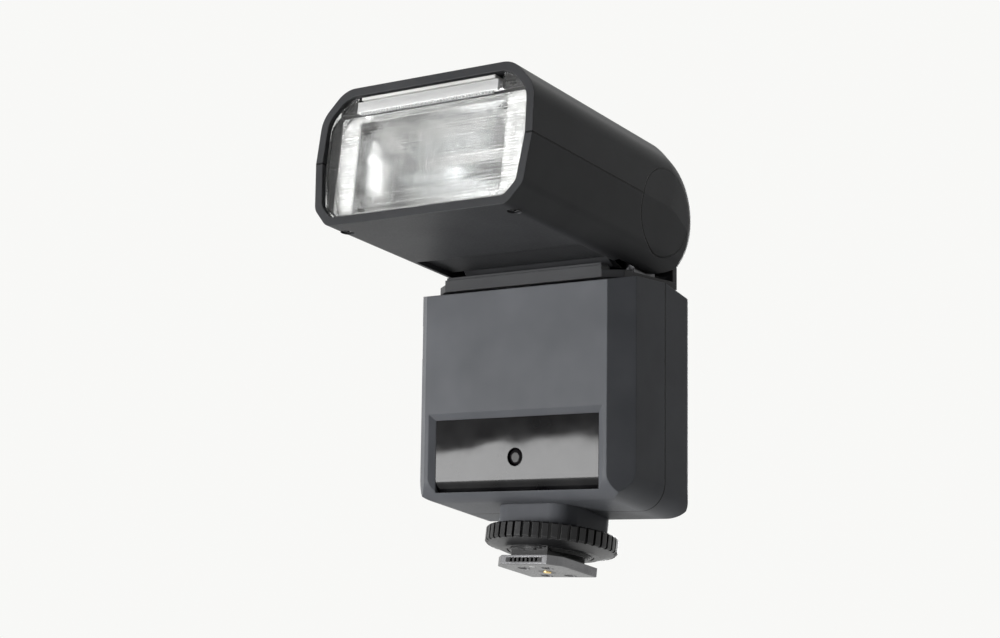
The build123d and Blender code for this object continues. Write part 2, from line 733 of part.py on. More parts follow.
with BuildPart() as battery_door:
    add(body_outer)
    add(body_inner, mode=Mode.SUBTRACT)
    with BuildSketch(side(body_frame, -BODY_HALF - PLAY, DOOR_FRONT_Y, CELL_MID_Z)):
        Rectangle(DOOR_HINGE_Y - DOOR_FRONT_Y, DOOR_TALL, align=(Align.MIN, Align.CENTER))
    extrude(amount=WALL + 2 * PLAY, mode=Mode.INTERSECT)
    add(
        rod(
            level(body_frame, CELL_MID_Z - DOOR_TALL / 2, DOOR_HINGE_X, DOOR_HINGE_Y),
            WALL / 2,
            DOOR_TALL,
        )
    )
    add(
        rod(
            level(body_frame, CELL_MID_Z - DOOR_TALL / 2 - DOOR_PIN_LONG, DOOR_HINGE_X, DOOR_HINGE_Y),
            DOOR_PIN_R,
            DOOR_TALL + 2 * DOOR_PIN_LONG,
        )
    )
    # thumb grooves near the free edge
    with BuildSketch(side(body_frame, -BODY_HALF, CELL_Y - CELL_R / 2, CELL_MID_Z)):
        with GridLocations(0, DOOR_GRIP_PITCH, 1, DOOR_GRIPS):
            SlotOverall(CELL_R, 2 * DOOR_GRIP_DEPTH)
    extrude(amount=DOOR_GRIP_DEPTH, mode=Mode.SUBTRACT)
battery_door.part.label = "battery_door"
export_step(battery_door.part, "parts/battery_door.step")

with BuildPart() as door_contact:
    with BuildSketch(side(body_frame, -SIDE_INNER, CELL_Y, CELL_MID_Z)):
        RectangleRounded(2 * CONTACT_HALF, CELL_PITCH + 2 * CONTACT_HALF, CONTACT_THICK)
    extrude(amount=CONTACT_THICK)
door_contact.part.label = "door_contact"
export_step(door_contact.part, "parts/door_contact.step")

# ---------------------------------------------------------------- electronics
with BuildPart() as main_capacitor:
    with BuildSketch(side(body_frame, CAP_LOW_X, CAP_Y, CAP_Z)):
        Circle(CAP_R)
    extrude(amount=CAP_LONG)
    fillet(edges().filter_by(GeomType.CIRCLE), WALL / 2)
main_capacitor.part.label = "main_capacitor"
export_step(main_capacitor.part, "parts/main_capacitor.step")

with BuildPart() as transformer:
    with BuildSketch(level(body_frame, CAP_Z - CAP_R, CORE_X, CAP_Y)):
        Rectangle(CORE_SIZE, CORE_SIZE)
        Rectangle(CORE_SIZE / 2, CORE_SIZE, mode=Mode.SUBTRACT)
        Circle(COIL_R)
    extrude(amount=CORE_SIZE)
    with BuildSketch(level(body_frame, CAP_Z - CAP_R, CORE_X, CAP_Y)):
        Rectangle(CORE_SIZE, CORE_SIZE)
    extrude(amount=WALL)
    with BuildSketch(level(body_frame, CAP_Z - CAP_R + CORE_SIZE, CORE_X, CAP_Y)):
        Rectangle(CORE_SIZE, CORE_SIZE)
    extrude(amount=-WALL)
transformer.part.label = "transformer"
export_step(transformer.part, "parts/transformer.step")

with BuildPart() as main_board:
    board_tall = MAIN_BOARD_TOP - MAIN_BOARD_LOW
    with BuildSketch(front(body_frame, MAIN_BOARD_Y, 0, (MAIN_BOARD_TOP + MAIN_BOARD_LOW) / 2)):
        RectangleRounded(2 * MAIN_BOARD_HALF, board_tall, WALL)
    extrude(amount=-BOARD_THICK)
main_board.part.label = "main_board"
export_step(main_board.part, "parts/main_board.step")

with BuildPart() as key_board:
    board_tall = KEY_BOARD_TOP - KEY_BOARD_LOW
    with BuildSketch(front(body_frame, KEY_BOARD_Y, 0, (KEY_BOARD_TOP + KEY_BOARD_LOW) / 2)):
        RectangleRounded(2 * KEY_BOARD_HALF, board_tall, WALL)
    extrude(amount=-KEY_BOARD_THICK)
key_board.part.label = "key_board"
export_step(key_board.part, "parts/key_board.step")

with BuildPart() as port_sockets:
    socket_x = -BODY_HALF + PORT_COVER_THICK + 2 * SLIP
    with BuildSketch(side(body_frame, socket_x, USB_Y, PORT_Z)):
        Rectangle(2 * USB_HALF_Y, 2 * USB_HALF_Z)
    extrude(amount=SOCKET_LONG)
    with BuildSketch(side(body_frame, socket_x, USB_Y, PORT_Z)):
        Rectangle(2 * (USB_HALF_Y - SOCKET_WALL), 2 * (USB_HALF_Z - SOCKET_WALL))
        Rectangle(SOCKET_WALL, 2 * (USB_HALF_Z - 2 * SOCKET_WALL), mode=Mode.SUBTRACT)
    extrude(amount=SOCKET_LONG - WALL, mode=Mode.SUBTRACT)
    with BuildSketch(side(body_frame, socket_x, SYNC_Y, PORT_Z)):
        Circle(SYNC_R)
        Circle(SYNC_BORE_R, mode=Mode.SUBTRACT)
    extrude(amount=SOCKET_LONG)
    with BuildSketch(side(body_frame, socket_x + SOCKET_LONG - WALL, SYNC_Y, PORT_Z)):
        Circle(SYNC_R)
    extrude(amount=WALL)
port_sockets.part.label = "port_sockets"
export_step(port_sockets.part, "parts/port_sockets.step")

with BuildPart() as port_cover:
    hinge_y = PORT_Y - PORT_HALF_Y + PORT_HINGE_R
    with BuildSketch(side(body_frame, -BODY_HALF, (hinge_y + PORT_Y + PORT_HALF_Y) / 2, PORT_Z)):
        Rectangle(PORT_Y + PORT_HALF_Y - hinge_y, 2 * PORT_HALF_Z)
    extrude(amount=PORT_COVER_THICK)
    add(
        rod(
            level(body_frame, PORT_Z - PORT_HALF_Z, PORT_HINGE_R - BODY_HALF, hinge_y),
            PORT_HINGE_R,
            2 * PORT_HALF_Z,
        )
    )
port_cover.part.label = "port_cover"
export_step(port_cover.part, "parts/port_cover.step")

# ---------------------------------------------------------------- display and controls
with BuildPart() as lcd_module:
    with BuildSketch(front(body_frame, KEY_BOARD_REAR, 0, LCD_Z)):
        Rectangle(2 * LCD_HALF_X, 2 * LCD_HALF_Z)
    extrude(amount=KEY_BOARD_REAR - LCD_WINDOW_Y + SEAT)
lcd_module.part.label = "lcd_module"
export_step(lcd_module.part, "parts/lcd_module.step")

with BuildPart() as lcd_window:
    with BuildSketch(front(body_frame, LCD_WINDOW_Y, 0, LCD_Z)):
        window_x = LCD_HALF_X + LCD_RIM - SEAT
        window_z = LCD_HALF_Z + LCD_RIM - SEAT
        RectangleRounded(2 * window_x, 2 * window_z, LCD_RIM - SEAT)
    extrude(amount=-LCD_WINDOW_THICK)
lcd_window.part.label = "lcd_window"
export_step(lcd_window.part, "parts/lcd_window.step")

with BuildPart() as select_dial:
    dial_plane = front(body_frame, BODY_REAR + SLIP, -DIAL_X, DIAL_Z)
    with BuildSketch(dial_plane):
        Circle(DIAL_R)
    extrude(amount=-DIAL_HIGH)
    fillet(edges().group_by(Axis.Y)[-1], EDGE_SHARE * DIAL_HIGH)
    with BuildSketch(dial_plane):
        with PolarLocations(DIAL_R, DIAL_NOTCHES):
            Circle(SLOT_W / 2)
    extrude(amount=-DIAL_HIGH, mode=Mode.SUBTRACT)
    with BuildSketch(front(body_frame, BODY_REAR + SLIP + SEAT, -DIAL_X, DIAL_Z)):
        Circle(DIAL_HUB_R)
    extrude(amount=BODY_REAR - KEY_BOARD_REAR - SLIP)
    with BuildSketch(front(body_frame, BODY_REAR + 2 * DIAL_HIGH, -DIAL_X, DIAL_Z)):
        Circle(SET_R + SLIP)
    extrude(amount=FAR, mode=Mode.SUBTRACT)
select_dial.part.label = "select_dial"
export_step(select_dial.part, "parts/select_dial.step")

with BuildPart() as set_button:
    set_y = KEY_BOARD_REAR + KEY_TRAVEL + SLIP
    with BuildSketch(front(body_frame, set_y, -DIAL_X, DIAL_Z)):
        Circle(SET_R)
    extrude(amount=set_y - BODY_REAR - SLIP - DIAL_HIGH - KEY_PROUD / 2)
    fillet(edges().group_by(Axis.Y)[-1], KEY_PROUD / 2)
set_button.part.label = "set_button"
export_step(set_button.part, "parts/set_button.step")


def key_cap(x, z):
    """A round push key, its flange behind the rear wall."""
    key_y = KEY_BOARD_REAR + KEY_TRAVEL + SLIP
    with BuildPart() as key:
        with BuildSketch(front(body_frame, key_y, x, z)):
            Circle(KEY_R + KEY_FLANGE)
        extrude(amount=-KEY_FLANGE_THICK)
        with BuildSketch(front(body_frame, key_y, x, z)):
            Circle(KEY_R)
        extrude(amount=key_y - BODY_REAR - KEY_PROUD)
        fillet(edges().group_by(Axis.Y)[-1], KEY_PROUD / 2)
    return key.part


with BuildPart() as mode_button:
    add(key_cap(*key_places["mode"]))
mode_button.part.label = "mode_button"
export_step(mode_button.part, "parts/mode_button.step")

with BuildPart() as wireless_button:
    add(key_cap(*key_places["wireless"]))
wireless_button.part.label = "wireless_button"
export_step(wireless_button.part, "parts/wireless_button.step")

with BuildPart() as menu_button:
    add(key_cap(*key_places["menu"]))
menu_button.part.label = "menu_button"
export_step(menu_button.part, "parts/menu_button.step")

with BuildPart() as test_button:
    add(key_cap(*key_places["test"]))
test_button.part.label = "test_button"
export_step(test_button.part, "parts/test_button.step")

with BuildPart() as power_switch:
    switch_z = DIAL_Z - SWITCH_TRAVEL / 2
    with BuildSketch(front(body_frame, BODY_REAR + SWITCH_PROUD, -SWITCH_X, switch_z)):
        Rectangle(2 * SWITCH_HALF_X, 2 * SWITCH_HALF_Z)
    extrude(amount=SWITCH_PROUD + BODY_REAR - KEY_BOARD_REAR - SLIP)
    with BuildSketch(front(body_frame, BODY_REAR + SWITCH_PROUD, -SWITCH_X, switch_z)):
        with GridLocations(0, SWITCH_HALF_Z / 2, 1, SWITCH_GROOVES):
            Rectangle(2 * SWITCH_HALF_X, SLOT_W / 2)
    extrude(amount=SLOT_W / 2, mode=Mode.SUBTRACT)
power_switch.part.label = "power_switch"
export_step(power_switch.part, "parts/power_switch.step")

# ---------------------------------------------------------------- shoe foot
with BuildPart() as foot_pedestal:
    with BuildSketch(level(foot_frame, PEDESTAL_LOW, 0, RING_Y)):
        RectangleRounded(2 * PEDESTAL_HALF, 2 * PEDESTAL_HALF, PEDESTAL_R)
    extrude(amount=BODY_BOTTOM_Z - PEDESTAL_LOW)
    for bore in foot_screw_bores:
        add(bore, mode=Mode.SUBTRACT)
foot_pedestal.part.label = "foot_pedestal"
export_step(foot_pedestal.part, "parts/foot_pedestal.step")

with BuildPart() as foot_column:
    pad_mid = (PAD_FRONT + PAD_REAR) / 2
    with BuildSketch(level(foot_frame, FOOT_THICK, 0, pad_mid)):
        Rectangle(2 * PAD_HALF, PAD_REAR - PAD_FRONT)
    extrude(amount=RING_LOW - FOOT_THICK)
    with BuildSketch(level(foot_frame, RING_LOW, 0, RING_Y)):
        Circle(POST_BIG_R)
    extrude(amount=PEDESTAL_LOW - RING_LOW)
    # insulator that reaches down round the contact pin
    add(rod(level(foot_frame, 0), INSULATOR_R, FOOT_THICK))
    add(rod(level(foot_frame, 0), PIN_R + FIT, PIN_TOP + PIN_TRAVEL), mode=Mode.SUBTRACT)
    for bore in foot_screw_bores:
        add(bore, mode=Mode.SUBTRACT)
    lock_bore = rod(level(foot_frame, 0, 0, LOCK_PIN_Y), LOCK_PIN_R + FIT, PEDESTAL_LOW)
    add(lock_bore, mode=Mode.SUBTRACT)
foot_column.part.label = "foot_column"
export_step(foot_column.part, "parts/foot_column.step")

with BuildPart() as foot_plate:
    with BuildSketch(level(foot_frame, 0)):
        with BuildLine():
            Polyline(
                (FOOT_HALF - FOOT_CORNER, FOOT_FRONT),
                (FOOT_HALF, FOOT_FRONT + FOOT_CORNER),
                (FOOT_HALF, FOOT_REAR),
                (-FOOT_HALF, FOOT_REAR),
                (-FOOT_HALF, FOOT_FRONT + FOOT_CORNER),
                (FOOT_CORNER - FOOT_HALF, FOOT_FRONT),
                close=True,
            )
        make_face()
        Circle(INSULATOR_R + SEAT, mode=Mode.SUBTRACT)
    extrude(amount=FOOT_THICK)
    chamfer(faces().sort_by(Axis.Z)[0].outer_wire().edges(), SLIP)
    add(lock_bore, mode=Mode.SUBTRACT)
    # pocket in the front edge for the contact block
    with BuildSketch(front(foot_frame, FOOT_FRONT, 0, FOOT_THICK / 2)):
        Rectangle(2 * (PAD_HALF + SEAT), FOOT_THICK / 2 + 2 * SEAT)
    extrude(amount=-FOOT_THICK - SEAT, mode=Mode.SUBTRACT)
    with BuildSketch(level(foot_frame, 0)):
        with Locations(*foot_screw_places):
            Circle(FOOT_SCREW_R + SEAT)
    extrude(amount=FOOT_THICK, mode=Mode.SUBTRACT)
    with BuildSketch(level(foot_frame, 0)):
        with Locations(*foot_screw_places):
            Circle(FOOT_SCREW_HEAD_R + SEAT)
    extrude(amount=FOOT_THICK / 2, mode=Mode.SUBTRACT)
foot_plate.part.label = "foot_plate"
export_step(foot_plate.part, "parts/foot_plate.step")

with BuildPart() as foot_connector:
    with BuildSketch(front(foot_frame, FOOT_FRONT, 0, FOOT_THICK / 2)):
        Rectangle(2 * PAD_HALF, FOOT_THICK / 2)
    extrude(amount=-FOOT_THICK)
    with BuildSketch(front(foot_frame, FOOT_FRONT, 0, FOOT_THICK / 2)):
        with GridLocations(2 * PORT_SLOT_W, 0, PORT_SLOTS, 1):
            Rectangle(PORT_SLOT_W, PORT_SLOT_H)
    extrude(amount=-FOOT_THICK / 2, mode=Mode.SUBTRACT)
foot_connector.part.label = "foot_connector"
export_step(foot_connector.part, "parts/foot_connector.step")

with BuildPart() as foot_screws:
    with BuildSketch(level(foot_frame, SLIP)):
        with Locations(*foot_screw_places):
            Circle(FOOT_SCREW_HEAD_R)
    extrude(amount=FOOT_THICK / 2 - SLIP)
    with BuildSketch(level(foot_frame, SLIP)):
        with Locations(*foot_screw_places):
            Circle(FOOT_SCREW_R)
    extrude(amount=FOOT_SCREW_TOP - SLIP)
    with BuildSketch(level(foot_frame, SLIP)):
        with Locations(*foot_screw_places):
            Rectangle(2 * FOOT_SCREW_R, SLOT_W)
            Rectangle(SLOT_W, 2 * FOOT_SCREW_R)
    extrude(amount=SLOT_DEEP, mode=Mode.SUBTRACT)
foot_screws.part.label = "foot_screws"
export_step(foot_screws.part, "parts/foot_screws.step")

with BuildPart() as contact_pin:
    with BuildSketch(level(foot_frame, -PIN_PROUD)):
        Circle(PIN_R)
    extrude(amount=PIN_PROUD + PIN_TOP)
    fillet(edges().group_by(Axis.Z)[0], PIN_PROUD)
contact_pin.part.label = "contact_pin"
export_step(contact_pin.part, "parts/contact_pin.step")

with BuildPart() as lock_pin:
    with BuildSketch(level(foot_frame, SEAT, 0, LOCK_PIN_Y)):
        Circle(LOCK_PIN_R)
    extrude(amount=RING_TOP - SEAT)
    fillet(edges().group_by(Axis.Z)[0], EDGE_SHARE * LOCK_PIN_R)
lock_pin.part.label = "lock_pin"
export_step(lock_pin.part, "parts/lock_pin.step")

with BuildPart() as pressure_plate:
    # stepped from below, each ring a little narrower than the one above
    for step in range(PLATE_STEPS):
        step_z = PLATE_LOW + step * PLATE_STEP_Z
        step_r = PLATE_R - (PLATE_STEPS - step) * PLATE_STEP_R
        with BuildSketch(level(foot_frame, step_z, 0, RING_Y)):
            Circle(step_r)
        extrude(amount=PLATE_STEP_Z)
    plate_z = PLATE_LOW + PLATE_STEPS * PLATE_STEP_Z
    with BuildSketch(level(foot_frame, plate_z, 0, RING_Y)):
        Circle(PLATE_R)
    extrude(amount=RING_LOW - SLIP - plate_z)
    with BuildSketch(level(foot_frame, PLATE_LOW, 0, pad_mid)):
        Rectangle(2 * (PAD_HALF + SLIP), PAD_REAR - PAD_FRONT + 2 * SLIP)
    extrude(amount=RING_LOW, mode=Mode.SUBTRACT)
pressure_plate.part.label = "pressure_plate"
export_step(pressure_plate.part, "parts/pressure_plate.step")

with BuildPart() as lock_ring:
    with BuildSketch(level(foot_frame, RING_LOW, 0, RING_Y)):
        Circle(RING_R)
    extrude(amount=RING_TOP - RING_LOW)
    chamfer(edges(), TOOTH_DEEP / 2)
    with BuildSketch(level(foot_frame, RING_LOW, 0, RING_Y)):
        with PolarLocations(RING_R, RING_TEETH):
            Rectangle(2 * TOOTH_DEEP, TOOTH_GAP)
    extrude(amount=RING_TOP - RING_LOW, mode=Mode.SUBTRACT)
    with BuildSketch(level(foot_frame, RING_LOW, 0, RING_Y)):
        Circle(RING_R - TOOTH_DEEP)
    with BuildSketch(level(foot_frame, RING_CONE_LOW, 0, RING_Y)):
        Circle(RING_CONE_R)
    loft()
    with BuildSketch(level(foot_frame, RING_CONE_LOW, 0, RING_Y)):
        Circle(PLATE_R + SLIP)
    extrude(amount=RECESS_TOP - RING_CONE_LOW, mode=Mode.SUBTRACT)
    with BuildSketch(level(foot_frame, RING_CONE_LOW, 0, RING_Y)):
        Circle(RING_BORE_R)
    extrude(amount=RING_TOP, mode=Mode.SUBTRACT)
lock_ring.part.label = "lock_ring"
export_step(lock_ring.part, "parts/lock_ring.step")

# ---------------------------------------------------------------- neck
ARM_INNER = ARM_HALF - ARM_THICK
STUB_IN = ARM_INNER - PLAY
neck_bore = rod(level(body_frame, SWIVEL_LOW), SWIVEL_R + SEAT, FAR)
BRACKET_TOP = NECK_PLATE_TOP + BRACKET_THICK
FLANGE_LOW = BRACKET_TOP + SEAT
FLANGE_TOP = FLANGE_LOW + FLANGE_THICK

with BuildPart() as neck_cover:
    with BuildSketch(level(body_frame, NECK_LOW)):
        with BuildLine():
            Polyline(
                (NECK_FRONT_HALF, NECK_FRONT),
                (NECK_HALF, NECK_FRONT + NECK_STEP_Y),
                (NECK_HALF, BODY_REAR),
                (-NECK_HALF, BODY_REAR),
                (-NECK_HALF, NECK_FRONT + NECK_STEP_Y),
                (-NECK_FRONT_HALF, NECK_FRONT),
                close=True,
            )
        make_face()
    extrude(amount=NECK_PLATE_TOP - NECK_LOW)
    with BuildSketch(level(body_frame, NECK_PLATE_TOP)):
        with Locations((0, NECK_FRONT)):
            Rectangle(2 * NECK_FRONT_HALF, NECK_STEP_Y, align=(Align.CENTER, Align.MIN))
    extrude(amount=NECK_BAND_TOP - NECK_PLATE_TOP)
    with BuildSketch(level(body_frame, NECK_BAND_TOP)):
        with Locations((0, NECK_FRONT + PLAY)):
            Rectangle(
                2 * (NECK_FRONT_HALF - PLAY),
                NECK_STEP_Y - 2 * PLAY,
                align=(Align.CENTER, Align.MIN),
            )
    extrude(amount=NECK_LIP_TOP - NECK_BAND_TOP)
    add(neck_bore, mode=Mode.SUBTRACT)
neck_cover.part.label = "neck_cover"
export_step(neck_cover.part, "parts/neck_cover.step")

with BuildPart() as neck_rear_cover:
    with BuildSketch(side(body_frame, 0)):
        Circle(DRUM_R)
        Circle(DRUM_R - DRUM_WALL, mode=Mode.SUBTRACT)
        with Locations((0, FLANGE_TOP + SEAT)):
            Rectangle(FAR, FAR, align=(Align.CENTER, Align.MAX), mode=Mode.SUBTRACT)
    extrude(amount=DRUM_HALF, both=True)
    # upright wall behind the drum, level with the rear of the body
    with BuildSketch(side(body_frame, 0)):
        wall_y = BODY_REAR - WALL
        with BuildLine():
            Polyline(
                (wall_y, NECK_PLATE_TOP),
                (BODY_REAR, NECK_PLATE_TOP),
                (BODY_REAR, -sqrt(DRUM_R**2 - BODY_REAR**2)),
                (wall_y, -sqrt((DRUM_R - DRUM_WALL / 2) ** 2 - wall_y**2)),
                close=True,
            )
        make_face()
    extrude(amount=NECK_HALF, both=True)
    # hollow at each end for the head's shoulders
    for start in (DRUM_HALF, -DRUM_HALF - NECK_HALF):
        with BuildSketch(side(body_frame, start)):
            Circle(DRUM_R)
        extrude(amount=NECK_HALF, mode=Mode.SUBTRACT)
neck_rear_cover.part.label = "neck_rear_cover"
export_step(neck_rear_cover.part, "parts/neck_rear_cover.step")

with BuildPart() as tilt_bracket:
    with BuildSketch(side(body_frame, 0)):
        Circle(ARM_R)
        with Locations((0, NECK_PLATE_TOP)):
            Rectangle(ARM_R, -NECK_PLATE_TOP, align=(Align.CENTER, Align.MIN))
    extrude(amount=ARM_HALF, both=True)
    with BuildSketch(side(body_frame, 0)):
        with Locations((0, BRACKET_TOP)):
            Rectangle(FAR, FAR, align=(Align.CENTER, Align.MIN))
    extrude(amount=ARM_INNER, both=True, mode=Mode.SUBTRACT)
    with BuildSketch(side(body_frame, 0)):
        Circle(STUB_R + FIT)
    extrude(amount=FAR, both=True, mode=Mode.SUBTRACT)
    with BuildSketch(level(body_frame, NECK_PLATE_TOP)):
        Rectangle(2 * ARM_INNER, BRACKET_FOOT_Y)
    extrude(amount=BRACKET_TOP - NECK_PLATE_TOP)
    add(neck_bore, mode=Mode.SUBTRACT)
tilt_bracket.part.label = "tilt_bracket"
export_step(tilt_bracket.part, "parts/tilt_bracket.step")

with BuildPart() as swivel_tube:
    with BuildSketch(level(body_frame, SWIVEL_LOW)):
        Circle(SWIVEL_R)
    extrude(amount=FLANGE_TOP - SWIVEL_LOW)
    with BuildSketch(level(body_frame, FLANGE_LOW)):
        Circle(FLANGE_R)
    extrude(amount=FLANGE_THICK)
    clip_high = BODY_TOP - WALL - FIT - WASHER_THICK - SEAT
    with BuildSketch(level(body_frame, clip_high)):
        Circle(SWIVEL_R)
        Circle(SWIVEL_R - CLIP_GROOVE, mode=Mode.SUBTRACT)
    extrude(amount=-CLIP_THICK - 2 * SEAT, mode=Mode.SUBTRACT)
    with BuildSketch(level(body_frame, SWIVEL_LOW)):
        Circle(SWIVEL_BORE_R)
    extrude(amount=FAR, mode=Mode.SUBTRACT)
swivel_tube.part.label = "swivel_tube"
export_step(swivel_tube.part, "parts/swivel_tube.step")

with BuildPart() as swivel_washer:
    with BuildSketch(level(body_frame, BODY_TOP - WALL - FIT)):
        Circle(WASHER_R)
        Circle(SWIVEL_R + SEAT, mode=Mode.SUBTRACT)
    extrude(amount=-WASHER_THICK)
swivel_washer.part.label = "swivel_washer"
export_step(swivel_washer.part, "parts/swivel_washer.step")

with BuildPart() as swivel_clip:
    with BuildSketch(level(body_frame, clip_high - SEAT)):
        Circle(CLIP_R)
        Circle(SWIVEL_R - CLIP_GROOVE + SEAT, mode=Mode.SUBTRACT)
        with Locations((0, CLIP_R)):
            Rectangle(SWIVEL_R, 2 * CLIP_GROOVE + SWIVEL_R, mode=Mode.SUBTRACT)
    extrude(amount=-CLIP_THICK)
swivel_clip.part.label = "swivel_clip"
export_step(swivel_clip.part, "parts/swivel_clip.step")

with BuildPart() as tilt_washers:
    washer_x = ARM_HALF + SEAT
    with BuildSketch(side(body_frame, washer_x)):
        Circle(WASHER_R)
        Circle(STUB_R + FIT, mode=Mode.SUBTRACT)
    extrude(amount=TILT_WASHER_THICK)
    mirror(about=Plane.YZ)
tilt_washers.part.label = "tilt_washers"
export_step(tilt_washers.part, "parts/tilt_washers.step")

# ---------------------------------------------------------------- head shells
SHELF_TOP = PANEL_TOP - PANEL_THICK - PLAY
SHELF_LOW = SHELF_TOP - SHELF_THICK
LENS_FRONT = HEAD_FRONT + LENS_SET_BACK
LENS_BACK = LENS_FRONT + LENS_THICK
CAP_X = HEAD_HALF - CAP_THICK
head_screw_places = [(-HEAD_SCREW_X, HEAD_SCREW_V), (HEAD_SCREW_X, HEAD_SCREW_V)]

# side walls thickened where the neck's arms run between them
with BuildPart() as cheeks:
    add(head_outer)
    with BuildSketch(level(head_frame, -FAR / 2)):
        with Locations((0, -ARM_R - PLAY)):
            Rectangle(2 * HEAD_HALF, FAR, align=(Align.CENTER, Align.MIN))
        Rectangle(2 * ARM_SLOT_HALF, 2 * FAR, mode=Mode.SUBTRACT)
    extrude(amount=FAR, mode=Mode.INTERSECT)

# room that the neck takes up as the head tilts round it
with BuildPart() as neck_slot:
    slot_far = FAR / 2
    slot_turn = radians(NECK_SLOT_ANGLE)
    with BuildSketch(side(head_frame, 0)):
        with BuildLine():
            Polyline(
                (NECK_SLOT_FRONT, -slot_far),
                (NECK_SLOT_FRONT, -STUB_R),
                (0, 0),
                (slot_far * cos(slot_turn), slot_far * sin(slot_turn)),
                (slot_far, -slot_far),
                close=True,
            )
        make_face()
    extrude(amount=ARM_SLOT_HALF, both=True)
    # wider behind the pivot, where the cheeks' inner shoulders pass over the neck's plate
    with BuildSketch(side(head_frame, 0)):
        with BuildLine():
            Polyline(
                (0, -slot_far),
                (0, 0),
                (slot_far * cos(slot_turn), slot_far * sin(slot_turn)),
                (slot_far, -slot_far),
                close=True,
            )
        make_face()
        Circle(SHOULDER_R, mode=Mode.SUBTRACT)
    extrude(amount=NECK_SLOT_HALF, both=True)

# pockets for the round side caps, and the holes for their stubs
with BuildPart() as cap_pockets:
    with BuildSketch(side(head_frame, CAP_X)):
        Circle(CAP_DISC_R + SEAT)
    extrude(amount=CAP_DISC_R)
    with BuildSketch(side(head_frame, STUB_IN)):
        Circle(STUB_R + SEAT)
    extrude(amount=CAP_DISC_R)
    mirror(about=Plane.YZ)

with BuildPart() as head_shells:
    add(head_outer)
    add(head_inner, mode=Mode.SUBTRACT)
    add(cheeks.part)
    add(neck_slot.part, mode=Mode.SUBTRACT)
    add(cap_pockets.part, mode=Mode.SUBTRACT)

# bosses that the screws from below draw down, rooted inside the wall
with BuildPart() as upper_bosses:
    with BuildSketch(level(head_frame, HEAD_BOSS_W)):
        with Locations(*head_screw_places):
            Circle(HEAD_BOSS_R)
    extrude(amount=HEAD_TOP - HEAD_BOSS_W)
    add(head_form(HEAD_WALL / 2), mode=Mode.INTERSECT)

with BuildPart() as head_upper_shell:
    add(head_shells.part)
    split(bisect_by=level(head_frame, HEAD_SEAM), keep=Keep.TOP)
    add(upper_bosses.part)
    with BuildSketch(level(head_frame, HEAD_BOSS_W)):
        with Locations(*head_screw_places):
            Circle(HEAD_SCREW_R + SEAT)
    extrude(amount=HEAD_SCREW_LONG, mode=Mode.SUBTRACT)
head_upper_shell.part.label = "head_upper_shell"
export_step(head_upper_shell.part, "parts/head_upper_shell.step")

with BuildPart() as head_lower_shell:
    add(head_shells.part)
    split(bisect_by=level(head_frame, HEAD_SEAM), keep=Keep.BOTTOM)
    with BuildSketch(level(head_frame, HEAD_LOW)):
        with Locations(*head_screw_places):
            Circle(HEAD_BOSS_R)
    extrude(amount=HEAD_BOSS_W - SEAT - HEAD_LOW)
    # shallow recess that clears the neck's lip when the head nods down
    with BuildSketch(level(head_frame, HEAD_LOW)):
        with Locations((0, LIP_RECESS_FRONT)):
            Rectangle(2 * (NECK_FRONT_HALF + LIP_RECESS_SIDE), FAR, align=(Align.CENTER, Align.MIN))
    extrude(amount=LIP_RECESS, mode=Mode.SUBTRACT)
    with BuildSketch(level(head_frame, HEAD_LOW)):
        with Locations(*head_screw_places):
            Circle(HEAD_SCREW_HEAD_R + SEAT)
    extrude(amount=SCREW_HEAD + SCREW_SUNK, mode=Mode.SUBTRACT)
    with BuildSketch(level(head_frame, HEAD_LOW)):
        with Locations(*head_screw_places):
            Circle(HEAD_SCREW_R + SEAT)
    extrude(amount=HEAD_TOP, mode=Mode.SUBTRACT)
head_lower_shell.part.label = "head_lower_shell"
export_step(head_lower_shell.part, "parts/head_lower_shell.step")

with BuildPart() as head_screws:
    screw_w = HEAD_LOW + SCREW_SUNK
    with BuildSketch(level(head_frame, screw_w)):
        with Locations(*head_screw_places):
            Circle(HEAD_SCREW_HEAD_R)
    extrude(amount=SCREW_HEAD)
    with BuildSketch(level(head_frame, screw_w)):
        with Locations(*head_screw_places):
            Circle(HEAD_SCREW_R)
    extrude(amount=HEAD_BOSS_W + HEAD_SCREW_LONG / 2 - screw_w)
    with BuildSketch(level(head_frame, screw_w)):
        with Locations(*head_screw_places):
            Rectangle(2 * HEAD_SCREW_R, SLOT_W)
            Rectangle(SLOT_W, 2 * HEAD_SCREW_R)
    extrude(amount=SLOT_DEEP, mode=Mode.SUBTRACT)
head_screws.part.label = "head_screws"
export_step(head_screws.part, "parts/head_screws.step")

with BuildPart() as head_cap_right:
    with BuildSketch(side(head_frame, CAP_X)):
        Circle(CAP_DISC_R)
    extrude(amount=CAP_DISC_R)
    add(head_outer, mode=Mode.INTERSECT)
    with BuildSketch(side(head_frame, STUB_IN)):
        Circle(STUB_R)
        Circle(STUB_BORE_R, mode=Mode.SUBTRACT)
    extrude(amount=CAP_X - STUB_IN)
head_cap_right.part.label = "head_cap_right"
export_step(head_cap_right.part, "parts/head_cap_right.step")

with BuildPart() as head_cap_left:
    add(mirror(head_cap_right.part, about=Plane.YZ, mode=Mode.PRIVATE))
head_cap_left.part.label = "head_cap_left"
export_step(head_cap_left.part, "parts/head_cap_left.step")

# ---------------------------------------------------------------- lens and stored panels
with BuildPart() as fresnel_lens:
    add(head_form(HEAD_WALL + SEAT, mouth=HEAD_WALL))
    with BuildSketch(front(head_frame, LENS_BACK)):
        Rectangle(FAR, FAR)
        with Locations((0, SHELF_LOW - SEAT)):
            strip_half = PANEL_HALF + 2 * PLAY
            Rectangle(2 * strip_half, FAR, align=(Align.CENTER, Align.MIN), mode=Mode.SUBTRACT)
    extrude(amount=LENS_THICK, mode=Mode.INTERSECT)
fresnel_lens.part.label = "fresnel_lens"
export_step(fresnel_lens.part, "parts/fresnel_lens.step")

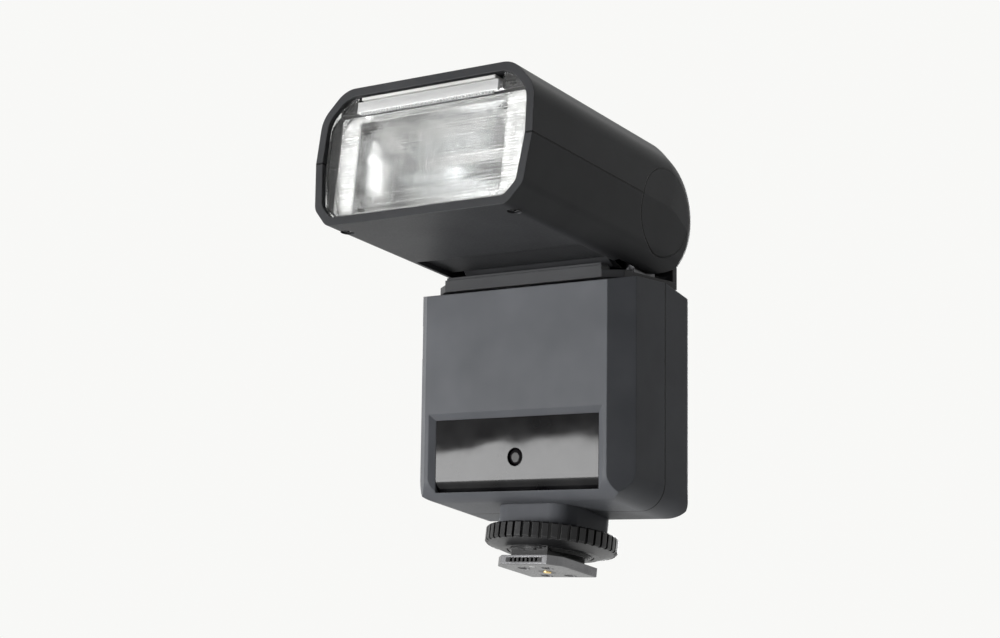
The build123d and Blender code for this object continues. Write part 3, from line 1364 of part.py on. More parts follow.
with BuildPart() as panel_tray:
    add(head_form(HEAD_WALL + SEAT, mouth=HEAD_WALL))
    with BuildSketch(level(head_frame, SHELF_LOW)):
        with Locations((0, LENS_BACK + SEAT)):
            Rectangle(FAR, PANEL_REAR - LENS_BACK - SEAT, align=(Align.CENTER, Align.MIN))
    extrude(amount=SHELF_THICK, mode=Mode.INTERSECT)
    with BuildSketch(level(head_frame, SHELF_LOW)):
        with Locations(*head_screw_places):
            Circle(HEAD_BOSS_R + SEAT)
    extrude(amount=SHELF_THICK, mode=Mode.SUBTRACT)
panel_tray.part.label = "panel_tray"
export_step(panel_tray.part, "parts/panel_tray.step")

with BuildPart() as wide_panel:
    with BuildSketch(level(head_frame, PANEL_TOP)):
        with Locations((0, HEAD_FRONT + PLAY)):
            Rectangle(
                2 * PANEL_HALF,
                PANEL_REAR - HEAD_FRONT - PLAY,
                align=(Align.CENTER, Align.MIN),
            )
    extrude(amount=-PANEL_THICK)
    with BuildSketch(level(head_frame, PANEL_TOP)):
        with Locations((0, HEAD_FRONT + PLAY)):
            lip_thick = LENS_SET_BACK - PLAY - SLIP
            Rectangle(2 * PANEL_HALF, lip_thick, align=(Align.CENTER, Align.MIN))
    extrude(amount=-PANEL_THICK - PANEL_LIP)
wide_panel.part.label = "wide_panel"
export_step(wide_panel.part, "parts/wide_panel.step")

with BuildPart() as bounce_card:
    with BuildSketch(level(head_frame, CARD_TOP)):
        with Locations((0, HEAD_FRONT + PLAY)):
            Rectangle(
                2 * CARD_HALF,
                PANEL_REAR - HEAD_FRONT - PLAY,
                align=(Align.CENTER, Align.MIN),
            )
    extrude(amount=-CARD_THICK)
bounce_card.part.label = "bounce_card"
export_step(bounce_card.part, "parts/bounce_card.step")

# ---------------------------------------------------------------- lamp carriage
MOUTH_MID = (MOUTH_TOP + MOUTH_LOW) / 2


def lamp_cone(inset):
    """The reflector's outside, or its inside when inset by the foil."""
    with BuildPart() as cone:
        with BuildSketch(front(head_frame, MOUTH_V - inset, 0, MOUTH_MID)):
            Rectangle(2 * (MOUTH_HALF - inset), MOUTH_TOP - MOUTH_LOW - 2 * inset)
        with BuildSketch(front(head_frame, LAMP_BACK_V - inset, 0, MOUTH_MID)):
            Rectangle(2 * (LAMP_BACK_HALF - inset), LAMP_BACK_TALL - 2 * inset)
        loft()
    return cone.part


with BuildPart() as reflector:
    add(lamp_cone(0))
    add(lamp_cone(FOIL), mode=Mode.SUBTRACT)
    with BuildSketch(side(head_frame, -FAR / 2, TUBE_V, MOUTH_MID)):
        Circle(TUBE_R + FIT)
    extrude(amount=FAR, mode=Mode.SUBTRACT)
reflector.part.label = "reflector"
export_step(reflector.part, "parts/reflector.step")

with BuildPart() as xenon_tube:
    with BuildSketch(side(head_frame, -TUBE_HALF, TUBE_V, MOUTH_MID)):
        Circle(TUBE_R)
    extrude(amount=2 * TUBE_HALF)
    fillet(edges().filter_by(GeomType.CIRCLE), EDGE_SHARE * TUBE_R)
xenon_tube.part.label = "xenon_tube"
export_step(xenon_tube.part, "parts/xenon_tube.step")

with BuildPart() as tube_grommets:
    with BuildSketch(side(head_frame, TUBE_HALF - TUBE_R, TUBE_V, MOUTH_MID)):
        Circle(GROMMET_R)
        Circle(TUBE_R + SEAT, mode=Mode.SUBTRACT)
    extrude(amount=-TUBE_R)
    mirror(about=Plane.YZ)
tube_grommets.part.label = "tube_grommets"
export_step(tube_grommets.part, "parts/tube_grommets.step")

with BuildPart() as lamp_carrier:
    carrier_v = LAMP_BACK_V + FOIL
    with BuildSketch(front(head_frame, carrier_v)):
        with Locations((0, (ROD_W + ZOOM_W) / 2)):
            Rectangle(2 * CARRIER_HALF, ROD_W - ZOOM_W + 2 * CARRIER_MARGIN)
    extrude(amount=CARRIER_THICK)
    add(lamp_cone(-SEAT), mode=Mode.SUBTRACT)
    with BuildSketch(front(head_frame, carrier_v)):
        with Locations((-ROD_X, ROD_W), (ROD_X, ROD_W)):
            Circle(ROD_R + FIT)
        with Locations((ZOOM_X, ZOOM_W)):
            Circle(ZOOM_R + FIT)
    extrude(amount=CARRIER_THICK, mode=Mode.SUBTRACT)
lamp_carrier.part.label = "lamp_carrier"
export_step(lamp_carrier.part, "parts/lamp_carrier.step")

with BuildPart() as zoom_guide_rods:
    with BuildSketch(front(head_frame, HEAD_BOARD_V - SEAT)):
        with Locations((-ROD_X, ROD_W), (ROD_X, ROD_W)):
            Circle(ROD_R)
    extrude(amount=HEAD_BOARD_V - SEAT - ROD_FRONT)
zoom_guide_rods.part.label = "zoom_guide_rods"
export_step(zoom_guide_rods.part, "parts/zoom_guide_rods.step")

with BuildPart() as zoom_motor:
    with BuildSketch(front(head_frame, HEAD_BOARD_V - SEAT, ZOOM_X, ZOOM_W)):
        Circle(MOTOR_R)
    extrude(amount=MOTOR_LONG)
zoom_motor.part.label = "zoom_motor"
export_step(zoom_motor.part, "parts/zoom_motor.step")

with BuildPart() as zoom_screw:
    screw_v = HEAD_BOARD_V - MOTOR_LONG - FIT
    with BuildSketch(front(head_frame, screw_v, ZOOM_X, ZOOM_W)):
        Circle(ZOOM_R)
    extrude(amount=screw_v - ROD_FRONT)
zoom_screw.part.label = "zoom_screw"
export_step(zoom_screw.part, "parts/zoom_screw.step")

with BuildPart() as head_board:
    board_mid = (HEAD_BOARD_TOP + HEAD_BOARD_LOW) / 2
    with BuildSketch(front(head_frame, HEAD_BOARD_V, 0, board_mid)):
        Rectangle(2 * HEAD_BOARD_HALF, HEAD_BOARD_TOP - HEAD_BOARD_LOW)
    extrude(amount=-BOARD_THICK)
    add(head_form(HEAD_WALL + SEAT, mouth=HEAD_WALL), mode=Mode.INTERSECT)
head_board.part.label = "head_board"
export_step(head_board.part, "parts/head_board.step")
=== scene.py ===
import json
import math

import bmesh
import bpy
from mathutils import Matrix, Vector

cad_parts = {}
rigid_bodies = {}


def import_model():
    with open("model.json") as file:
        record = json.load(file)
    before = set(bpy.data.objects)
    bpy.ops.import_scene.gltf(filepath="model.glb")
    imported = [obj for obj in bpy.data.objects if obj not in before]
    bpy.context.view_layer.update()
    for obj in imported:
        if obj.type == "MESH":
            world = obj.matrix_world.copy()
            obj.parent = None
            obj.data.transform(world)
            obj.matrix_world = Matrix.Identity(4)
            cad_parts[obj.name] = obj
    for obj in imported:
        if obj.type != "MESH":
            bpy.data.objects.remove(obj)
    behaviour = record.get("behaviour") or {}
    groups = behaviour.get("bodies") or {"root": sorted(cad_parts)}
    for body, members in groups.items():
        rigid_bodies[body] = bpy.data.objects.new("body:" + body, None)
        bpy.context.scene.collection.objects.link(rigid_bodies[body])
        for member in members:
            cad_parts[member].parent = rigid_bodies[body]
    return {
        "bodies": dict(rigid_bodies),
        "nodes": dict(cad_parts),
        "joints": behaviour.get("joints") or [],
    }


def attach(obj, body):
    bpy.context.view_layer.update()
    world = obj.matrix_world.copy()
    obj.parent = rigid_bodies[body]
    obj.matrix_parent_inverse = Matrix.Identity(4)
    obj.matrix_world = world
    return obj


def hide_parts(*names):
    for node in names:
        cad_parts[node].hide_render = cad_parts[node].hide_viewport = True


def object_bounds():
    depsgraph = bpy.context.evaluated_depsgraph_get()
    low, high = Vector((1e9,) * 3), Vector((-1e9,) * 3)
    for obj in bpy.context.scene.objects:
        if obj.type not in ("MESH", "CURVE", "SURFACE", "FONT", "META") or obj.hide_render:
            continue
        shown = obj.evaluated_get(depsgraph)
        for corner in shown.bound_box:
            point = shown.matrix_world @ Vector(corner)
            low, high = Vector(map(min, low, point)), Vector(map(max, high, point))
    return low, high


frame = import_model()
cad_low, cad_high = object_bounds()

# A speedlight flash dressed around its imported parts, in metres and in the frame of the parts.
# Sizes of small pieces are written in millimetres and brought to metres by MM.
MM = 0.001
X_AXIS = Vector((1, 0, 0))
joints = {joint["name"]: joint for joint in frame["joints"]}


# ---------------------------------------------------------------- frames of the body and the head
def leaning_frame(origin, depth_axis):
    """Matrix of a frame that shares +X and looks to the rear along depth_axis."""
    depth = Vector(depth_axis).normalized()
    height = X_AXIS.cross(depth)
    turn = Matrix((X_AXIS, depth, height)).transposed().to_4x4()
    return Matrix.Translation(origin) @ turn


pivot = Vector(joints["head_swivel"]["pos_m"])
BODY = leaning_frame(pivot, joints["dial_turn"]["axis"])
HEAD = leaning_frame(pivot, joints["zoom_slide"]["axis"])


def span(node, place):
    """Lowest and highest corner of a node, measured in one of the frames above."""
    back = place.inverted()
    points = [back @ vertex.co for vertex in frame["nodes"][node].data.vertices]
    low = Vector([min(point[axis] for point in points) for axis in range(3)])
    high = Vector([max(point[axis] for point in points) for axis in range(3)])
    return low, high


def body_under(node):
    """Name of the moving body that carries a node."""
    carrier = frame["nodes"][node].parent
    return next(name for name, empty in frame["bodies"].items() if empty == carrier)


# ---------------------------------------------------------------- finishes
# the wave texture runs through one wave in this length at a scale of 1
WAVE_PERIOD = math.pi / 10
# near black of the dark lines in seams and round caps: painted shade of the gap between parts, with dirt in
# the joint
GAP_SHADE_BLACK = (0.0015, 0.0015, 0.0018)

# an edge shows where its rounded normal leans away: fully below the first cosine, not above the last
EDGE_LEANS, EDGE_FLAT = 0.80, 0.985

# spots are sizes in millimetres; swing and least are shares
TONE_SPOT, TONE_SWING = 14, 0.12
WEAR_SPOT, WEAR_LEAST = 1.6, 0.3
GRAIN_STRENGTH = 0.4

# dark line of a seam, painted shade of its gap with dirt: in millimetres from its plane, full up to the
# first, gone at the second
SEAM_FULL, SEAM_GONE = 0.15, 0.27
# dark line round a cap, painted shade of the gap round it with dirt: in millimetres inside its edge, starts
# at the first, full at the second
RIM_START, RIM_FULL = 0.34, 0.24

CLEAR_INDEX = 1.49
STREAK_SPOT, STREAK_SQUEEZE = 2.5, (1, 6, 1)
WAVE_SPOT = 15
DRAWN_SPOT, DRAWN_SQUEEZE, EVEN = 0.5, (1, 1, 14), (1, 1, 1)


class Finish:
    """A material under construction: its principled shader and short ways to add nodes."""

    def __init__(self, name, colour, roughness, **sockets):
        self.material = bpy.data.materials.new(name)
        self.material.use_nodes = True
        self.tree = self.material.node_tree
        self.shader = self.tree.nodes["Principled BSDF"]
        self.shader.inputs["Base Color"].default_value = (*colour, 1)
        self.shader.inputs["Roughness"].default_value = roughness
        for socket, value in sockets.items():
            self.shader.inputs[socket.replace("_", " ")].default_value = value
        self.place = self.add("ShaderNodeTexCoord").outputs["Object"]

    def add(self, kind, **settings):
        node = self.tree.nodes.new(kind)
        for setting, value in settings.items():
            setattr(node, setting, value)
        return node

    def join(self, source, target):
        self.tree.links.new(source, target)

    def noise(self, size_mm, detail=2.0, squeeze=None):
        """Noise with features about size_mm across, each axis made finer by its own squeeze."""
        node = self.add("ShaderNodeTexNoise")
        node.inputs["Scale"].default_value = 1 / (size_mm * MM)
        node.inputs["Detail"].default_value = detail
        place = self.place
        if squeeze:
            mapping = self.add("ShaderNodeMapping")
            mapping.inputs["Scale"].default_value = squeeze
            self.join(place, mapping.inputs["Vector"])
            place = mapping.outputs["Vector"]
        self.join(place, node.inputs["Vector"])
        return node.outputs["Fac"]

    def spread(self, source, low, high, start=0.3, end=0.7):
        """A value brought from start..end to low..high."""
        node = self.add("ShaderNodeMapRange")
        for socket, value in (("From Min", start), ("From Max", end), ("To Min", low), ("To Max", high)):
            node.inputs[socket].default_value = value
        self.join(source, node.inputs["Value"])
        return node.outputs["Result"]

    def blend(self, factor, first, second):
        """A colour between two, each a colour or the output of another blend."""
        node = self.add("ShaderNodeMix", data_type="RGBA")
        self.join(factor, node.inputs["Factor"])
        for socket, colour in ((node.inputs[6], first), (node.inputs[7], second)):
            if isinstance(colour, bpy.types.NodeSocket):
                self.join(colour, socket)
            else:
                socket.default_value = (*colour, 1)
        return node.outputs[2]

    def edges(self, radius_mm):
        """The rounded normal of sharp edges, and a mask that is 1 along them."""
        bevel = self.add("ShaderNodeBevel", samples=4)
        bevel.inputs["Radius"].default_value = radius_mm * MM
        flat = self.add("ShaderNodeNewGeometry").outputs["Normal"]
        dot = self.add("ShaderNodeVectorMath", operation="DOT_PRODUCT")
        self.join(bevel.outputs["Normal"], dot.inputs[0])
        self.join(flat, dot.inputs[1])
        return bevel.outputs["Normal"], self.spread(dot.outputs["Value"], 1.0, 0.0, EDGE_LEANS, EDGE_FLAT)

    def along(self, axis, at_mm):
        """How far a point lies, in metres, to either side of a plane at at_mm along an axis."""
        dot = self.add("ShaderNodeVectorMath", operation="DOT_PRODUCT")
        dot.inputs[1].default_value = axis
        self.join(self.place, dot.inputs[0])
        side = self.add("ShaderNodeMath", operation="SUBTRACT")
        side.inputs[1].default_value = axis.dot(pivot) + at_mm * MM
        self.join(dot.outputs["Value"], side.inputs[0])
        away = self.add("ShaderNodeMath", operation="ABSOLUTE")
        self.join(side.outputs[0], away.inputs[0])
        return away.outputs[0]

    def cross_ribs(self, pitch_mm):
        """Two sets of fine waves, across and upright, with the higher of both at every point."""
        sets = []
        for direction in ("X", "Z"):
            wave = self.add("ShaderNodeTexWave", bands_direction=direction)
            wave.inputs["Scale"].default_value = WAVE_PERIOD / (pitch_mm * MM)
            self.join(self.place, wave.inputs["Vector"])
            sets.append(wave.outputs["Fac"])
        higher = self.add("ShaderNodeMath", operation="MAXIMUM")
        self.join(sets[0], higher.inputs[0])
        self.join(sets[1], higher.inputs[1])
        return higher.outputs[0]

    def round_pivot(self):
        """Distance of a point from the tilt axis of the head, in metres."""
        flat = self.add("ShaderNodeVectorMath", operation="MULTIPLY_ADD")
        flat.inputs[1].default_value = (0, 1, 1)
        flat.inputs[2].default_value = (0, -pivot.y, -pivot.z)
        self.join(self.place, flat.inputs[0])
        reach = self.add("ShaderNodeVectorMath", operation="LENGTH")
        self.join(flat.outputs[0], reach.inputs[0])
        return reach.outputs["Value"]

    def grid(self, cell_mm, first, second, line, **settings):
        """Colours of a net of fine lines over cells in two tones."""
        net = self.add("ShaderNodeTexBrick", **settings)
        net.inputs["Scale"].default_value = 1 / (cell_mm * MM)
        for socket, colour in (("Color1", first), ("Color2", second), ("Mortar", line)):
            net.inputs[socket].default_value = (*colour, 1)
        self.join(self.place, net.inputs["Vector"])
        return net.outputs["Color"]

    def relief(self, source, depth_mm, normal=None, strength=1.0):
        """Bump of a given depth, laid over a rounded normal where there is one."""
        bump = self.add("ShaderNodeBump")
        bump.inputs["Distance"].default_value = depth_mm * MM
        bump.inputs["Strength"].default_value = strength
        self.join(source, bump.inputs["Height"])
        if normal:
            self.join(normal, bump.inputs["Normal"])
        self.join(bump.outputs["Normal"], self.shader.inputs["Normal"])

    def colour(self, source):
        self.join(source, self.shader.inputs["Base Color"])

    def rough(self, source):
        self.join(source, self.shader.inputs["Roughness"])


def lighter(colour, share):
    """A colour moved towards white by a share."""
    return tuple(channel + (1 - channel) * share for channel in colour)


def shaded(colour, factor):
    """A colour with each channel multiplied by a factor."""
    return tuple(channel * factor for channel in colour)


def moulded(name, colour, roughness=0.5, grain=0.10, depth=0.010, edge=0.35, wear=0.05,
            shine=0.10, seam=None, rim_mm=None):
    """Spark-eroded moulded plastic: fine grain, slow change of tone, worn lighter edges.

    A seam, given as an axis and a place along it, and the rim of a round cap get dark lines: painted shade
    of the gap between the parts, with dirt in the joint.
    """
    finish = Finish(name, colour, roughness, Specular_IOR_Level=shine)
    normal, rim = finish.edges(edge)
    tone = finish.blend(
        finish.spread(finish.noise(TONE_SPOT), 0, 1),
        shaded(colour, 1 - TONE_SWING),
        shaded(colour, 1 + TONE_SWING),
    )
    patchy = finish.add("ShaderNodeMath", operation="MULTIPLY")
    finish.join(rim, patchy.inputs[0])
    finish.join(finish.spread(finish.noise(WEAR_SPOT), WEAR_LEAST, 1.0), patchy.inputs[1])
    worn_and_gap_shade = finish.blend(patchy.outputs[0], tone, lighter(colour, wear))
    if seam:
        # dark line of painted shade and dirt in the gap of the seam
        line = finish.spread(finish.along(*seam), 1, 0, SEAM_FULL * MM, SEAM_GONE * MM)
        worn_and_gap_shade = finish.blend(line, worn_and_gap_shade, GAP_SHADE_BLACK)
    if rim_mm:
        # dark line of painted shade and dirt in the gap round the cap
        start, full = (rim_mm - RIM_START) * MM, (rim_mm - RIM_FULL) * MM
        line = finish.spread(finish.round_pivot(), 0, 1, start, full)
        worn_and_gap_shade = finish.blend(line, worn_and_gap_shade, GAP_SHADE_BLACK)
    finish.colour(worn_and_gap_shade)
    sheen = finish.noise(size_mm=0.5, detail=2)
    finish.rough(finish.spread(sheen, low=roughness - 0.03, high=roughness + 0.04))
    finish.relief(finish.noise(grain, detail=2), depth, normal, GRAIN_STRENGTH)
    return finish.material


def polished(name, colour, roughness=0.06, wave=0.05, **sockets):
    """Polished plastic: faint long waves and streaks that are a little duller."""
    finish = Finish(name, colour, roughness, **sockets)
    normal, _ = finish.edges(radius_mm=0.2)
    streaks = finish.noise(STREAK_SPOT, 5, STREAK_SQUEEZE)
    finish.rough(finish.spread(streaks, low=roughness, high=roughness + 0.02))
    tone = finish.spread(finish.noise(size_mm=9), 0, 1)
    finish.colour(finish.blend(tone, colour, lighter(colour, share=0.01)))
    finish.relief(finish.noise(WAVE_SPOT, detail=1), wave, normal, GRAIN_STRENGTH)
    return finish.material


def clear(name, tint, roughness, share=1.0, rib_mm=None):
    """Clear moulded plastic or glass, with slight flow lines or the fine ribs of a lens.

    It is frosted where share is under 1.
    """
    finish = Finish(name, tint, roughness, Transmission_Weight=share, IOR=CLEAR_INDEX)
    haze = finish.noise(size_mm=3, detail=3)
    finish.rough(finish.spread(haze, low=roughness, high=roughness + 0.03))
    tone = finish.spread(finish.noise(size_mm=8), 0, 1)
    finish.colour(finish.blend(tone, tint, lighter(tint, share=0.3)))
    if rib_mm:
        finish.relief(finish.cross_ribs(rib_mm), depth_mm=0.03)
    else:
        finish.relief(finish.noise(size_mm=1.2, detail=2), depth_mm=0.01, strength=0.3)
    return finish.material


def plated(name, colour, roughness=0.25, brushed=DRAWN_SQUEEZE):
    """Plated or drawn metal: fine drawn lines and softly worn edges."""
    finish = Finish(name, colour, roughness, Metallic=1.0)
    normal, rim = finish.edges(radius_mm=0.12)
    lines = finish.noise(DRAWN_SPOT, 4, brushed)
    finish.rough(finish.spread(lines, low=roughness - 0.08, high=roughness + 0.12))
    stains = finish.spread(finish.noise(size_mm=4, detail=3), 0, 1)
    stained = finish.blend(stains, shaded(colour, factor=0.72), colour)
    finish.colour(finish.blend(rim, stained, lighter(colour, share=0.2)))
    finish.relief(lines, depth_mm=0.006, normal=normal, strength=GRAIN_STRENGTH)
    return finish.material


def lacquered_board(name):
    """A printed board: green lacquer over a faint net of tracks."""
    lacquer, thin_lacquer, track = (0.02, 0.16, 0.07), (0.02, 0.20, 0.09), (0.05, 0.30, 0.15)
    finish = Finish(name, lacquer, roughness=0.28)
    finish.colour(finish.grid(4, lacquer, thin_lacquer, track))
    finish.rough(finish.spread(finish.noise(size_mm=2), low=0.24, high=0.36))
    return finish.material


def cell_wrap(name):
    """Shrunk film round the cells: a plain coloured band at the ends away from the door."""
    film, band_film = (0.09, 0.10, 0.11), (0.42, 0.33, 0.20)
    band_from, fade = 11.8, 0.2
    finish = Finish(name, film, roughness=0.32)
    split = finish.add("ShaderNodeSeparateXYZ")
    finish.join(finish.place, split.inputs[0])
    band = finish.spread(split.outputs["X"], 0, 1, band_from * MM, (band_from + fade) * MM)
    finish.colour(finish.blend(band, film, band_film))
    finish.rough(finish.spread(finish.noise(size_mm=3), low=0.26, high=0.40))
    folds = finish.noise(size_mm=5, detail=2, squeeze=(0.2, 1, 1))
    finish.relief(folds, depth_mm=0.03, strength=0.3)
    return finish.material


def display_grey(name):
    """Reflective display: grey-green with the fine grid of its cells."""
    cell, dim_cell, cell_gap = (0.37, 0.42, 0.36), (0.36, 0.41, 0.35), (0.33, 0.38, 0.32)
    finish = Finish(name, dim_cell, roughness=0.42)
    finish.colour(finish.grid(1.2, cell, dim_cell, cell_gap, offset=0.0))
    finish.rough(finish.spread(finish.noise(size_mm=2), low=0.36, high=0.48))
    return finish.material


BODY_BLACK = (0.100, 0.104, 0.114)
HEAD_BLACK = (0.052, 0.053, 0.056)
TRIM_BLACK = (0.014, 0.014, 0.015)
RUBBER_BLACK = (0.028, 0.028, 0.030)
GLOSS_BLACK = (0.003, 0.0028, 0.0035)
SENSOR_BLACK = (0.004, 0.003, 0.004)
CLEAR_TINT = (0.99, 0.995, 0.99)

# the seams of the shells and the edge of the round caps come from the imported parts
BODY_SEAM = (BODY.to_3x3().col[1], span("front_shell", BODY)[1].y / MM)
HEAD_SEAM = (HEAD.to_3x3().col[2], span("head_lower_shell", HEAD)[1].z / MM)
CAP_RADIUS = span("head_cap_right", HEAD)[1].z / MM

finishes = {
    # the shells carry a dark line of painted shade in their seams
    "shell": moulded("body_shell_plastic", BODY_BLACK, 0.44, seam=BODY_SEAM),
    "door": moulded("door_plastic", BODY_BLACK, 0.44),
    "head": moulded("head_shell_plastic", HEAD_BLACK, 0.42, seam=HEAD_SEAM),
    # the caps carry a dark line of painted shade round their rims
    "cap": moulded("head_cap_plastic", HEAD_BLACK, 0.42, rim_mm=CAP_RADIUS),
    "neck": moulded("neck_plastic", HEAD_BLACK, 0.42),
    "trim": moulded("trim_plastic", TRIM_BLACK, 0.34, edge=0.2, wear=0.16, shine=0.3),
    "rubber": moulded("soft_rubber", RUBBER_BLACK, 0.72, depth=0.008),
    "card": moulded("white_card", (0.80, 0.80, 0.78), 0.45, depth=0.004, wear=0.0),
    "window": polished("gloss_window", GLOSS_BLACK, 0.03, wave=0.10, Specular_IOR_Level=0.12),
    "lamp": polished("red_lamp", (0.35, 0.012, 0.012)),
    "mirror": plated("bright_foil", (0.985, 0.985, 0.985), 0.15, brushed=EVEN),
    "steel": plated("plated_steel", (0.62, 0.62, 0.63)),
    "dark_steel": plated("blackened_steel", (0.10, 0.10, 0.105), 0.34),
    "gunmetal": plated("foot_gunmetal", (0.16, 0.16, 0.165), 0.30),
    "gold": plated("gold_plate", (0.85, 0.62, 0.26), 0.22),
    "lens": clear("lens_clear", CLEAR_TINT, 0.07, rib_mm=0.8),
    "prism": clear("lens_prism_clear", CLEAR_TINT, 0.02),
    "frosted": clear("panel_frosted", (0.96, 0.965, 0.96), 0.22, share=0.45),
    "tube": clear("tube_glass", (0.95, 0.97, 0.98), 0.01),
    "cover": clear("display_cover", (0.82, 0.84, 0.83), 0.01),
    "smoked": polished("sensor_smoked", SENSOR_BLACK, 0.05, wave=0.0, Specular_IOR_Level=0.06),
    "board": lacquered_board("board_lacquer"),
    "display": display_grey("display_grey"),
    "wrap": cell_wrap("cell_film"),
    "sleeve": moulded("capacitor_sleeve", (0.02, 0.02, 0.035), 0.3, grain=0.3),
    "mark": moulded("printed_mark", (0.62, 0.62, 0.62), 0.5, depth=0.003, wear=0.0),
    "ink": moulded("display_ink", (0.03, 0.035, 0.03), 0.45, depth=0.002, wear=0.0),
}

wearing = {
    "shell": ("front_shell", "rear_shell"),
    "door": ("foot_pedestal", "battery_door"),
    "head": ("head_upper_shell", "head_lower_shell"),
    "cap": ("head_cap_right", "head_cap_left"),
    "neck": ("neck_cover", "neck_rear_cover"),
    "trim": (
        "select_dial", "power_switch", "lock_ring", "pressure_plate", "lamp_carrier",
        "panel_tray", "battery_tray", "foot_column", "foot_connector",
    ),
    "rubber": (
        "set_button", "mode_button", "wireless_button", "menu_button", "test_button",
        "port_cover", "tube_grommets",
    ),
    "card": ("bounce_card",),
    "window": ("sensor_window",),
    "smoked": ("sensor_lens",),
    "lamp": ("focus_lamp",),
    "steel": (
        "swivel_clip", "tilt_washers", "zoom_guide_rods", "zoom_screw", "zoom_motor",
        "battery_contacts", "door_contact", "lock_pin",
    ),
    "dark_steel": ("tilt_bracket", "swivel_tube", "swivel_washer", "shell_screws", "foot_screws"),
    "gunmetal": ("foot_plate",),
    "gold": ("contact_pin", "port_sockets"),
    "lens": ("fresnel_lens",),
    "frosted": ("wide_panel",),
    "cover": ("lcd_window",),
    "display": ("lcd_module",),
    "board": ("main_board", "key_board", "sensor_board", "head_board"),
    "wrap": ("battery_cells",),
    "sleeve": ("main_capacitor", "transformer"),
}


def dress(node, material):
    """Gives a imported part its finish."""
    mesh = frame["nodes"][node].data
    mesh.materials.clear()
    mesh.materials.append(material)


for finish_name, node_names in wearing.items():
    for node_name in node_names:
        dress(node_name, finishes[finish_name])


# ---------------------------------------------------------------- making pieces
def piece(name, mesh, place, body, finish, stands_for=(), smooth=False):
    """Puts a mesh given in one of the frames in its place, and lets it ride on a body."""
    mesh.transform(place)
    mesh.materials.clear()
    mesh.materials.append(finishes[finish])
    for polygon in mesh.polygons:
        polygon.use_smooth = smooth
    made = bpy.data.objects.new(name, mesh)
    bpy.context.scene.collection.objects.link(made)
    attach(made, body)
    if stands_for:
        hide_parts(*stands_for)
    return made


def mesh_of(name, points, faces):
    """A mesh of points and faces whose faces point outwards."""
    mesh = bpy.data.meshes.new(name)
    mesh.from_pydata([tuple(point) for point in points], [], faces)
    mesh.validate()
    form = bmesh.new()
    form.from_mesh(mesh)
    bmesh.ops.recalc_face_normals(form, faces=form.faces)
    form.to_mesh(mesh)
    form.free()
    return mesh


def plate(name, outline, back, front):
    """A flat plate with an outline in X and Z, between two depths."""
    count = len(outline)
    points = [(x, depth, z) for depth in (back, front) for x, z in outline]
    sides = [(i, (i + 1) % count, count + (i + 1) % count, count + i) for i in range(count)]
    return mesh_of(name, points, [tuple(range(count)), tuple(range(count, 2 * count)), *sides])


def box_outline(left, base, right, top):
    """Corners of an upright rectangle."""
    return [(left, base), (right, base), (right, top), (left, top)]


def joined(name, meshes):
    """One mesh in place of several."""
    form = bmesh.new()
    for mesh in meshes:
        form.from_mesh(mesh)
        bpy.data.meshes.remove(mesh)
    whole = bpy.data.meshes.new(name)
    form.to_mesh(whole)
    form.free()
    return whole


WELD = 1e-7


def revolved(name, profile, steps, closed=False):
    """A turned form about its own Z: profile is (radius, height) from one end to the other."""
    points, faces = [], []
    for step in range(steps):
        angle = 2 * math.pi * step / steps
        points += [(r * math.cos(angle), r * math.sin(angle), z) for r, z in profile]
    rows = len(profile)
    runs = rows if closed else rows - 1
    for step in range(steps):
        after = (step + 1) % steps
        for row in range(runs):
            up = (row + 1) % rows
            faces.append((step * rows + row, after * rows + row, after * rows + up, step * rows + up))
    mesh = mesh_of(name, points, faces)
    form = bmesh.new()
    form.from_mesh(mesh)
    bmesh.ops.remove_doubles(form, verts=form.verts, dist=WELD)
    bmesh.ops.recalc_face_normals(form, faces=form.faces)
    form.to_mesh(mesh)
    form.free()
    return mesh


# ---------------------------------------------------------------- node trees for what repeats
def new_tree(name, inputs):
    """An empty node tree with a geometry in and out and the named inputs."""
    tree = bpy.data.node_groups.new(name, "GeometryNodeTree")
    tree.interface.new_socket("Geometry", in_out="INPUT", socket_type="NodeSocketGeometry")
    for label, kind in inputs.items():
        tree.interface.new_socket(label, in_out="INPUT", socket_type="NodeSocket" + kind)
    tree.interface.new_socket("Geometry", in_out="OUTPUT", socket_type="NodeSocketGeometry")
    start = tree.nodes.new("NodeGroupInput").outputs
    end = tree.nodes.new("NodeGroupOutput").inputs
    return tree, start, end


def finish_tree(tree, source, material, end):
    """Makes the instances real and gives them their material, as the last two nodes of a tree."""
    realize = tree.nodes.new("GeometryNodeRealizeInstances")
    paint = tree.nodes.new("GeometryNodeSetMaterial")
    tree.links.new(source, realize.inputs["Geometry"])
    tree.links.new(realize.outputs["Geometry"], paint.inputs["Geometry"])
    tree.links.new(material, paint.inputs["Material"])
    tree.links.new(paint.outputs["Geometry"], end["Geometry"])


SCREW_SIDES = 40
PRISM_SIDES = 4


